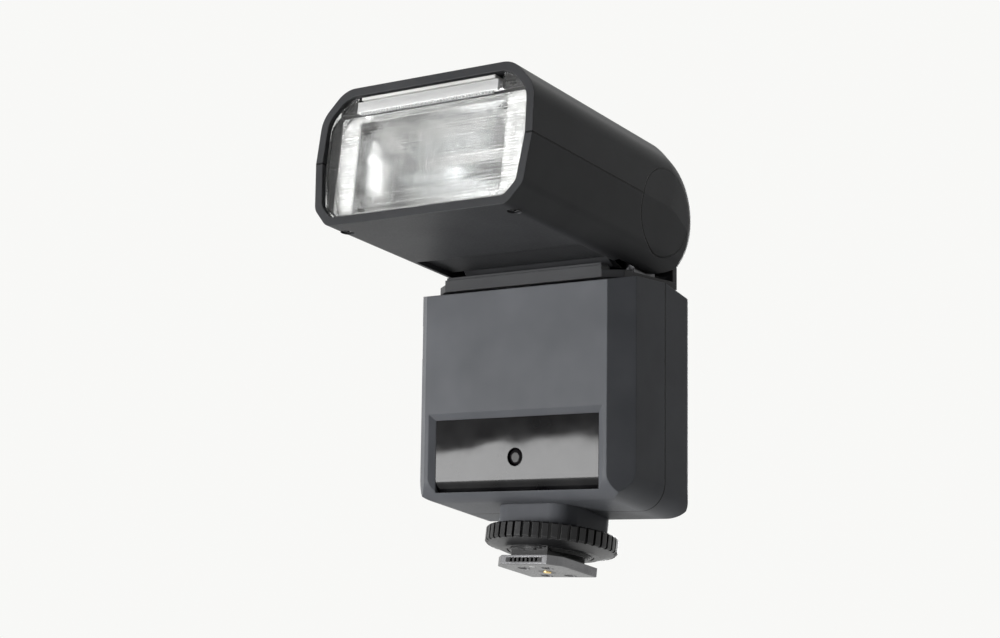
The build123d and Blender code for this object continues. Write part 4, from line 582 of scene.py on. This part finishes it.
def screw_tree():
    """Pan head with a cross recess, set at every point of the mesh that it is given."""
    tree, start, end = new_tree("cross_screws", {
        "Head Radius": "Float", "Head Height": "Float", "Recess Length": "Float",
        "Recess Width": "Float", "Recess Depth": "Float", "Turn": "Rotation", "Material": "Material",
    })
    link = tree.links.new
    head = tree.nodes.new("GeometryNodeMeshCylinder")
    head.inputs["Vertices"].default_value = SCREW_SIDES
    link(start["Head Radius"], head.inputs["Radius"])
    link(start["Head Height"], head.inputs["Depth"])
    cut = tree.nodes.new("GeometryNodeMeshBoolean")
    cut.operation = "DIFFERENCE"
    cut.solver = "EXACT"
    link(head.outputs["Mesh"], cut.inputs["Mesh 1"])
    # the head is centred on its point, so its face lies at half of its height
    lift = tree.nodes.new("ShaderNodeMath")
    lift.operation = "MULTIPLY"
    lift.inputs[1].default_value = 0.5
    link(start["Head Height"], lift.inputs[0])
    rise = tree.nodes.new("ShaderNodeCombineXYZ")
    link(lift.outputs[0], rise.inputs["Z"])
    for first, second in (("Recess Length", "Recess Width"), ("Recess Width", "Recess Length")):
        size = tree.nodes.new("ShaderNodeCombineXYZ")
        link(start[first], size.inputs["X"])
        link(start[second], size.inputs["Y"])
        link(start["Recess Depth"], size.inputs["Z"])
        bar = tree.nodes.new("GeometryNodeMeshCube")
        link(size.outputs[0], bar.inputs["Size"])
        raised = tree.nodes.new("GeometryNodeTransform")
        link(bar.outputs["Mesh"], raised.inputs["Geometry"])
        link(rise.outputs[0], raised.inputs["Translation"])
        link(raised.outputs["Geometry"], cut.inputs["Mesh 2"])
    spots = tree.nodes.new("GeometryNodeInstanceOnPoints")
    link(start["Geometry"], spots.inputs["Points"])
    link(cut.outputs["Mesh"], spots.inputs["Instance"])
    link(start["Turn"], spots.inputs["Rotation"])
    finish_tree(tree, spots.outputs["Instances"], start["Material"], end)
    return tree


def prism_tree():
    """Low four-sided prisms that point to the rear, one at every point of the mesh."""
    tree, start, end = new_tree("lens_prisms", {
        "Prism Radius": "Float", "Prism Height": "Float", "Material": "Material",
    })
    link = tree.links.new
    prism = tree.nodes.new("GeometryNodeMeshCone")
    prism.inputs["Vertices"].default_value = PRISM_SIDES
    link(start["Prism Radius"], prism.inputs["Radius Bottom"])
    link(start["Prism Height"], prism.inputs["Depth"])
    turn = tree.nodes.new("GeometryNodeTransform")
    turn.inputs["Rotation"].default_value = (-math.pi / 2, math.pi / 4, 0)
    link(prism.outputs["Mesh"], turn.inputs["Geometry"])
    spots = tree.nodes.new("GeometryNodeInstanceOnPoints")
    link(start["Geometry"], spots.inputs["Points"])
    link(turn.outputs["Geometry"], spots.inputs["Instance"])
    finish_tree(tree, spots.outputs["Instances"], start["Material"], end)
    return tree


def block_tree():
    """Plain blocks, one at every point of the mesh that it is given."""
    tree, start, end = new_tree("tooth_row", {"Size": "Vector", "Material": "Material"})
    link = tree.links.new
    block = tree.nodes.new("GeometryNodeMeshCube")
    link(start["Size"], block.inputs["Size"])
    spots = tree.nodes.new("GeometryNodeInstanceOnPoints")
    link(start["Geometry"], spots.inputs["Points"])
    link(block.outputs["Mesh"], spots.inputs["Instance"])
    finish_tree(tree, spots.outputs["Instances"], start["Material"], end)
    return tree


def grown(name, tree, points, values):
    """The plain mesh that a node tree grows from a set of points."""
    seed_mesh = bpy.data.meshes.new(name + "_points")
    seed_mesh.from_pydata([tuple(point) for point in points], [], [])
    seed = bpy.data.objects.new(name + "_points", seed_mesh)
    bpy.context.scene.collection.objects.link(seed)
    modifier = seed.modifiers.new("grow", "NODES")
    modifier.node_group = tree
    for item in tree.interface.items_tree:
        if item.in_out == "INPUT" and item.name in values:
            modifier[item.identifier] = values[item.name]
    graph = bpy.context.evaluated_depsgraph_get()
    mesh = bpy.data.meshes.new_from_object(seed.evaluated_get(graph))
    seed.modifiers.remove(modifier)
    bpy.data.objects.remove(seed)
    mesh.name = name
    return mesh


# ---------------------------------------------------------------- reflector and tube
# outline of a ring of facets: a rounded rectangle, squarer where the power is higher
FACET_RINGS, FACET_SIDES = 7, 28
FACET_POWER = 5
# share by which the trough is narrower and flatter at its back, and how late it turns in
TROUGH_NARROW, TROUGH_NARROW_LATE = 0.30, 1.6
TROUGH_FLAT, TROUGH_FLAT_LATE = 0.70, 1.3
TROUGH_EASE, MOUTH_EASE, BACK_EASE = 0.2 * MM, 0.1 * MM, 0.3 * MM
FOIL_THICK = 0.25 * MM


def reflector_shell():
    """Trough of facets that narrows from its mouth behind the lens to its closed back."""
    low, high = span("reflector", HEAD)
    front, back = low.y + MOUTH_EASE, high.y - BACK_EASE
    mid_z = (low.z + high.z) / 2
    half_x, half_z = (high.x - low.x) / 2 - TROUGH_EASE, (high.z - low.z) / 2 - TROUGH_EASE
    rings, sides = FACET_RINGS, FACET_SIDES
    points, faces = [], []
    for ring in range(rings + 1):
        share = ring / rings
        narrow = 1 - TROUGH_NARROW * share**TROUGH_NARROW_LATE
        flat = 1 - TROUGH_FLAT * share**TROUGH_FLAT_LATE
        for side in range(sides):
            angle = 2 * math.pi * side / sides
            wide, tall = abs(math.cos(angle)), abs(math.sin(angle))
            reach = (wide**FACET_POWER + tall**FACET_POWER) ** (-1 / FACET_POWER)
            points.append((
                half_x * narrow * reach * math.cos(angle),
                front + (back - front) * share,
                mid_z + half_z * flat * reach * math.sin(angle),
            ))
    for ring in range(rings):
        for side in range(sides):
            after = (side + 1) % sides
            faces.append((ring * sides + side, ring * sides + after,
                          (ring + 1) * sides + after, (ring + 1) * sides + side))
    faces.append(tuple(rings * sides + side for side in range(sides)))
    mesh = mesh_of("reflector_facets", points, faces)
    shell = piece("reflector_facets", mesh, HEAD, "lamp_carriage", "mirror", ("reflector",))
    wall = shell.modifiers.new("foil", "SOLIDIFY")
    wall.thickness = FOIL_THICK
    wall.offset = 1


TUBE_SIDES, ELECTRODE_SIDES = 40, 24
# shares of the tube's radius, and of half of its length
TUBE_BORE, TUBE_BRIM = 0.72, 0.9
TUBE_BEND, TUBE_END = 0.9, 0.94
ELECTRODE_ENDS = (0.80, 0.96, 0.97, 0.995)
# share of the bore that an electrode fills, and the radius of its lead
ELECTRODE_FIT = 0.9
LEAD_RADIUS = 0.25 * MM


def flash_tube():
    """Glass tube with rounded ends and a metal electrode in each end."""
    low, high = span("xenon_tube", HEAD)
    radius = (high.z - low.z) / 2
    middle = Vector(((low.x + high.x) / 2, (low.y + high.y) / 2, (low.z + high.z) / 2))
    half = (high.x - low.x) / 2
    lie = HEAD @ Matrix.Translation(middle) @ Matrix.Rotation(math.pi / 2, 4, "Y")
    bore, brim = radius * TUBE_BORE, radius * TUBE_BRIM
    end, bend = half * TUBE_END, half * TUBE_BEND
    wall = [(bore, -end), (brim, -end), (radius, -bend), (radius, bend), (brim, end), (bore, end)]
    glass = revolved("flash_tube_glass", wall, TUBE_SIDES, closed=True)
    piece("flash_tube_glass", glass, lie, "lamp_carriage", "tube", ("xenon_tube",), True)
    ends = []
    for way in (-1, 1):
        inner, outer, lead, tip = (way * half * share for share in ELECTRODE_ENDS)
        reach = bore * ELECTRODE_FIT
        cap = [(0, inner), (reach, inner), (reach, outer),
               (LEAD_RADIUS, lead), (LEAD_RADIUS, tip), (0, tip)]
        ends.append(revolved("electrode", cap, ELECTRODE_SIDES))
    piece("flash_tube_electrodes", joined("flash_tube_electrodes", ends), lie,
          "lamp_carriage", "steel")


FRAME_LAP, FRAME_THICK = 0.5 * MM, 0.3 * MM
FRAME_BEHIND_LENS = 0.9 * MM
FRAME_IN_SIDE, FRAME_IN_LOW = 2.2 * MM, 1.4 * MM
FRAME_TO_MOUTH = 0.1 * MM


def light_frame():
    """Bright frame behind the lens, with a short tunnel back to the mouth of the reflector."""
    lens_low, lens_high = span("fresnel_lens", HEAD)
    low, high = span("reflector", HEAD)
    front = lens_high.y + FRAME_BEHIND_LENS
    left, right = lens_low.x + FRAME_IN_SIDE, lens_high.x - FRAME_IN_SIDE
    base, top = lens_low.z + FRAME_IN_LOW, span("panel_tray", HEAD)[0].z - FRAME_LAP
    mouth_left, mouth_right = low.x + FRAME_LAP, high.x - FRAME_LAP
    mouth_base, mouth_top = low.z + FRAME_LAP, high.z - FRAME_LAP
    wall_left, wall_right = mouth_left + FRAME_THICK, mouth_right - FRAME_THICK
    frame_bars = [
        (left, base, right, mouth_base),
        (left, mouth_top, right, top),
        (left, mouth_base, mouth_left, mouth_top),
        (mouth_right, mouth_base, right, mouth_top),
    ]
    tunnel_walls = [
        (mouth_left, mouth_base, wall_left, mouth_top),
        (wall_right, mouth_base, mouth_right, mouth_top),
        (wall_left, mouth_base, wall_right, mouth_base + FRAME_THICK),
        (wall_left, mouth_top - FRAME_THICK, wall_right, mouth_top),
    ]
    plates = [
        plate("light_frame_bar", box_outline(*corners), front, back)
        for walls, back in ((frame_bars, front + FRAME_THICK), (tunnel_walls, low.y - FRAME_TO_MOUTH))
        for corners in walls
    ]
    mesh = joined("lens_light_frame", plates)
    piece("lens_light_frame", mesh, HEAD, "head", "mirror")


reflector_shell()
flash_tube()
light_frame()


# ---------------------------------------------------------------- lens and panel relief
PRISM_PITCH, PRISM_HIGH = 0.62 * MM, 0.12 * MM
PRISM_SHARE = 0.36
PRISM_IN_SIDE, PRISM_IN_LOW, PRISM_IN_TOP = 3.4 * MM, 2.6 * MM, 5.2 * MM
TOOTH_PITCH, TOOTH = 0.9 * MM, Vector((0.5, 0.7, 0.6)) * MM
TOOTH_IN_SIDE, TOOTH_BEHIND, TOOTH_BELOW = 1.4 * MM, 0.02 * MM, 0.15 * MM


def steps_between(start, stop, pitch):
    """Places one pitch apart from start, up to stop."""
    return [start + pitch * step for step in range(int((stop - start) / pitch) + 1)]


def lens_prisms():
    """A field of small prisms over the rear of the lens, clear of its edges and of the panels."""
    low, high = span("fresnel_lens", HEAD)
    columns = steps_between(low.x + PRISM_IN_SIDE, high.x - PRISM_IN_SIDE, PRISM_PITCH)
    rows = steps_between(low.z + PRISM_IN_LOW, high.z - PRISM_IN_TOP, PRISM_PITCH)
    points = [(x, high.y + PRISM_HIGH / 2, z) for x in columns for z in rows]
    mesh = grown("lens_prisms", prism_tree(), points, {
        "Prism Radius": PRISM_SHARE * PRISM_PITCH, "Prism Height": PRISM_HIGH,
        "Material": finishes["prism"],
    })
    piece("lens_prisms", mesh, HEAD, "head", "prism")


def panel_teeth():
    """Fine teeth under the grip edge of the wide panel."""
    low, high = span("wide_panel", HEAD)
    columns = steps_between(low.x + TOOTH_IN_SIDE, high.x - TOOTH_IN_SIDE, TOOTH_PITCH)
    points = [(x, low.y + TOOTH.y / 2 + TOOTH_BEHIND, low.z - TOOTH_BELOW) for x in columns]
    mesh = grown("panel_teeth", block_tree(), points, {
        "Size": TOOTH, "Material": finishes["frosted"],
    })
    piece("panel_teeth", mesh, HEAD, "wide_panel", "frosted")


lens_prisms()
panel_teeth()


# ---------------------------------------------------------------- screws
SCREW_RADIUS = 1.55 * MM
SCREW_HIGH = 1.0 * MM
SCREW_RECESS_LONG, SCREW_RECESS_WIDE = 1.35, 0.36
SCREW_TURN = (math.pi, 0, 0.4)


def recessed_screws():
    """Cross-recessed heads under the head, in place of its plain screws."""
    low, high = span("head_screws", HEAD)
    depth, height = (low.y + high.y) / 2, low.z + SCREW_HIGH / 2
    places = [(x, depth, height) for x in (low.x + SCREW_RADIUS, high.x - SCREW_RADIUS)]
    mesh = grown("head_cross_screws", screw_tree(), places, {
        "Head Radius": SCREW_RADIUS, "Head Height": SCREW_HIGH,
        "Recess Length": SCREW_RECESS_LONG * SCREW_RADIUS,
        "Recess Width": SCREW_RECESS_WIDE * SCREW_RADIUS,
        "Recess Depth": SCREW_HIGH, "Turn": SCREW_TURN, "Material": finishes["dark_steel"],
    })
    piece("head_cross_screws", mesh, HEAD, "head", "dark_steel", ("head_screws",))


recessed_screws()


# ---------------------------------------------------------------- display and key marks
INK_LIFT, INK_HIGH = 0.01 * MM, 0.04 * MM
SIGN_LIFT, SIGN_HIGH = 0.01 * MM, 0.03 * MM
LEVEL_STEPS, LEVEL_PITCH = 12, 0.060


def display_marks():
    """Segments of the display: a level bar, two plain figures and a flash sign.

    Places and sizes are shares of the display's width and height, upwards from its middle.
    """
    low, high = span("lcd_module", BODY)
    front, back = high.y + INK_LIFT, high.y + INK_LIFT + INK_HIGH
    width, height = high.x - low.x, high.z - low.z
    middle = (low.z + high.z) / 2

    def segment(x, z, wide, tall):
        left, base = low.x + x * width, middle + z * height
        return box_outline(left, base, left + wide * width, base + tall * height)

    outlines = [segment(0.14 + LEVEL_PITCH * step, -0.30, 0.042, 0.07) for step in range(LEVEL_STEPS)]
    for figure_x in (0.24, 0.41):
        outlines += [segment(figure_x, rung - 0.10, 0.11, 0.035) for rung in (0.0, 0.17, 0.34)]
        outlines += [segment(figure_x + side, -0.08, 0.014, 0.38) for side in (0.0, 0.10)]
    bolt = [(0.5, 1.0), (0.1, 0.45), (0.42, 0.5), (0.3, 0.0), (0.8, 0.62), (0.5, 0.58), (0.75, 1.0)]
    bolt_x, bolt_z, bolt_tall = low.x + 0.70 * width, middle - 0.02 * height, 0.30 * height
    outlines.append([(bolt_x + bolt_tall * x, bolt_z + bolt_tall * z) for x, z in bolt])
    plates = [plate("segment", outline, front, back) for outline in outlines]
    piece("display_segments", joined("display_segments", plates), BODY, "body", "ink")


def square_sign(inset_x, inset_z, thick):
    """Outlines of the four bars of a rectangle in the middle of a unit square."""
    left, base, right, top = inset_x, inset_z, 1 - inset_x, 1 - inset_z
    return [
        box_outline(left, base, right, base + thick),
        box_outline(left, top - thick, right, top),
        box_outline(left, base, left + thick, top),
        box_outline(right - thick, base, right, top),
    ]


def chevron_sign(foot, rise, thick, reaches):
    """Outlines of nested chevrons in a unit square, one for each reach to the sides."""
    chevrons = []
    for reach in reaches:
        shoulder, tip = reach * rise, reach * 2 * rise
        chevrons.append([
            (0.5 - reach, foot + thick + shoulder), (0.5, foot + thick + tip),
            (0.5 + reach, foot + thick + shoulder), (0.5 + reach, foot + shoulder),
            (0.5, foot + tip), (0.5 - reach, foot + shoulder),
        ])
    return chevrons


def bar_sign(inset, thick, heights):
    """Outlines of level bars in a unit square."""
    return [box_outline(inset, base, 1 - inset, base + thick) for base in heights]


KEY_SIGNS = {
    "mode_button": square_sign(0.05, 0.15, 0.11),
    "wireless_button": chevron_sign(0.2, 0.7, 0.1, (0.14, 0.3, 0.46)),
    "menu_button": bar_sign(0.1, 0.12, (0.14, 0.44, 0.74)),
    "test_button": [
        [(0.62, 1.0), (0.2, 0.42), (0.48, 0.48), (0.38, 0.0), (0.82, 0.6), (0.54, 0.56)],
    ],
}
SIGN_SHARE = 0.42


def key_marks():
    """Plain printed signs on the four keys, each in a square on the face of its key."""
    for key, outlines in KEY_SIGNS.items():
        low, high = span(key, BODY)
        wide = SIGN_SHARE * (high.x - low.x)
        left, base = (low.x + high.x - wide) / 2, (low.z + high.z - wide) / 2
        front = high.y + SIGN_LIFT
        plates = [
            plate("sign", [(left + wide * x, base + wide * z) for x, z in outline], front, front + SIGN_HIGH)
            for outline in outlines
        ]
        piece(key + "_sign", joined(key + "_sign", plates), BODY, body_under(key), "mark")


display_marks()
key_marks()


# ---------------------------------------------------------------- stage, light and camera
BACKDROP = (0.940, 0.940, 0.925)
FILL_LIGHT, FILL_STRENGTH = (0.9, 0.92, 0.95), 0.08
FLOOR_HALF, FLOOR_Z, FLOOR_GLOW = 3, -0.35, 0.62
FLOOR_SPOT = 90

# lamps: place and side of the square in metres, power in watts
LAMPS = {
    "key_lamp": ((-0.585, -0.826, -0.200), 0.34, 10.5),
    "top_lamp": ((-0.15, 0.00, 0.90), 0.60, 1.4),
    "rear_lamp": ((-0.45, 0.95, 0.30), 0.50, 5.0),
}

# camera: turned about the upright axis from the front, below level and about its own axis, in
# degrees; distance to its target in metres; lens and width of the sensor in millimetres
CAMERA_TARGET = (-0.02265, 0, 0.06411)
CAMERA_AZIMUTH, CAMERA_BELOW, CAMERA_ROLL = 37.61, 15.45, -6.56
CAMERA_DISTANCE = 0.50515
CAMERA_LENS, CAMERA_SENSOR = 72.34, 36


def seen_rays(tree):
    """1 on rays from the camera and on those that metal and glass send on, otherwise 0."""
    rays = tree.nodes.new("ShaderNodeLightPath")
    total = rays.outputs["Is Camera Ray"]
    for kind in ("Is Glossy Ray", "Is Transmission Ray"):
        either = tree.nodes.new("ShaderNodeMath")
        either.operation = "MAXIMUM"
        tree.links.new(total, either.inputs[0])
        tree.links.new(rays.outputs[kind], either.inputs[1])
        total = either.outputs[0]
    return total


def pale_world():
    """Pale to the eye and in reflections, with a weak fill light for everything else."""
    world = bpy.data.worlds.new("studio")
    bpy.context.scene.world = world
    world.use_nodes = True
    tree = world.node_tree
    tree.nodes.clear()
    out = tree.nodes.new("ShaderNodeOutputWorld")
    mix = tree.nodes.new("ShaderNodeMixShader")
    fill = tree.nodes.new("ShaderNodeBackground")
    fill.inputs["Color"].default_value = (*FILL_LIGHT, 1)
    fill.inputs["Strength"].default_value = FILL_STRENGTH
    seen = tree.nodes.new("ShaderNodeBackground")
    seen.inputs["Color"].default_value = (*BACKDROP, 1)
    tree.links.new(seen_rays(tree), mix.inputs["Fac"])
    tree.links.new(fill.outputs[0], mix.inputs[1])
    tree.links.new(seen.outputs[0], mix.inputs[2])
    tree.links.new(mix.outputs[0], out.inputs["Surface"])


def pale_floor():
    """A plain pale floor well below the foot."""
    corners = [(x, y, FLOOR_Z) for x, y in box_outline(-FLOOR_HALF, -FLOOR_HALF, FLOOR_HALF, FLOOR_HALF)]
    mesh = mesh_of("studio_floor", corners, [(0, 1, 2, 3)])
    floor = bpy.data.objects.new("studio_floor", mesh)
    bpy.context.scene.collection.objects.link(floor)
    finish = Finish("pale_floor", BACKDROP, roughness=0.8)
    spots = finish.spread(finish.noise(FLOOR_SPOT), 0, 1)
    finish.colour(finish.blend(spots, BACKDROP, lighter(BACKDROP, share=0.1)))
    glow = finish.add("ShaderNodeMath", operation="MULTIPLY")
    glow.inputs[1].default_value = FLOOR_GLOW
    finish.join(seen_rays(finish.tree), glow.inputs[0])
    finish.join(glow.outputs[0], finish.shader.inputs["Emission Strength"])
    finish.shader.inputs["Emission Color"].default_value = (*BACKDROP, 1)
    mesh.materials.append(finish.material)


def soft_lamp(name, place, size, power):
    """A square soft lamp that faces the middle of the flash."""
    lamp = bpy.data.lights.new(name, "AREA")
    lamp.size = size
    lamp.energy = power
    made = bpy.data.objects.new(name, lamp)
    made.location = place
    aim = (cad_low + cad_high) / 2 - Vector(place)
    made.rotation_mode = "QUATERNION"
    made.rotation_quaternion = aim.to_track_quat("-Z", "Y")
    bpy.context.scene.collection.objects.link(made)


def studio_camera():
    """Looks up at the flash from its right front, turned a little about its own axis."""
    azimuth, below, roll = map(math.radians, (CAMERA_AZIMUTH, CAMERA_BELOW, CAMERA_ROLL))
    back = Vector((
        math.sin(azimuth) * math.cos(below),
        -math.cos(azimuth) * math.cos(below),
        -math.sin(below),
    ))
    level = (-back).cross(Vector((0, 0, 1))).normalized()
    rise = level.cross(-back)
    right = math.cos(roll) * level - math.sin(roll) * rise
    up = math.sin(roll) * level + math.cos(roll) * rise
    camera = bpy.data.objects.new("studio_camera", bpy.data.cameras.new("studio_camera"))
    camera.data.lens = CAMERA_LENS
    camera.data.sensor_width = CAMERA_SENSOR
    turn = Matrix((right, up, back)).transposed().to_4x4()
    camera.matrix_world = Matrix.Translation(Vector(CAMERA_TARGET) + CAMERA_DISTANCE * back) @ turn
    bpy.context.scene.collection.objects.link(camera)
    bpy.context.scene.camera = camera


pale_world()
pale_floor()
for lamp_name, (lamp_place, lamp_size, lamp_power) in LAMPS.items():
    soft_lamp(lamp_name, lamp_place, lamp_size, lamp_power)
studio_camera()
bpy.context.scene.view_settings.view_transform = "Standard"
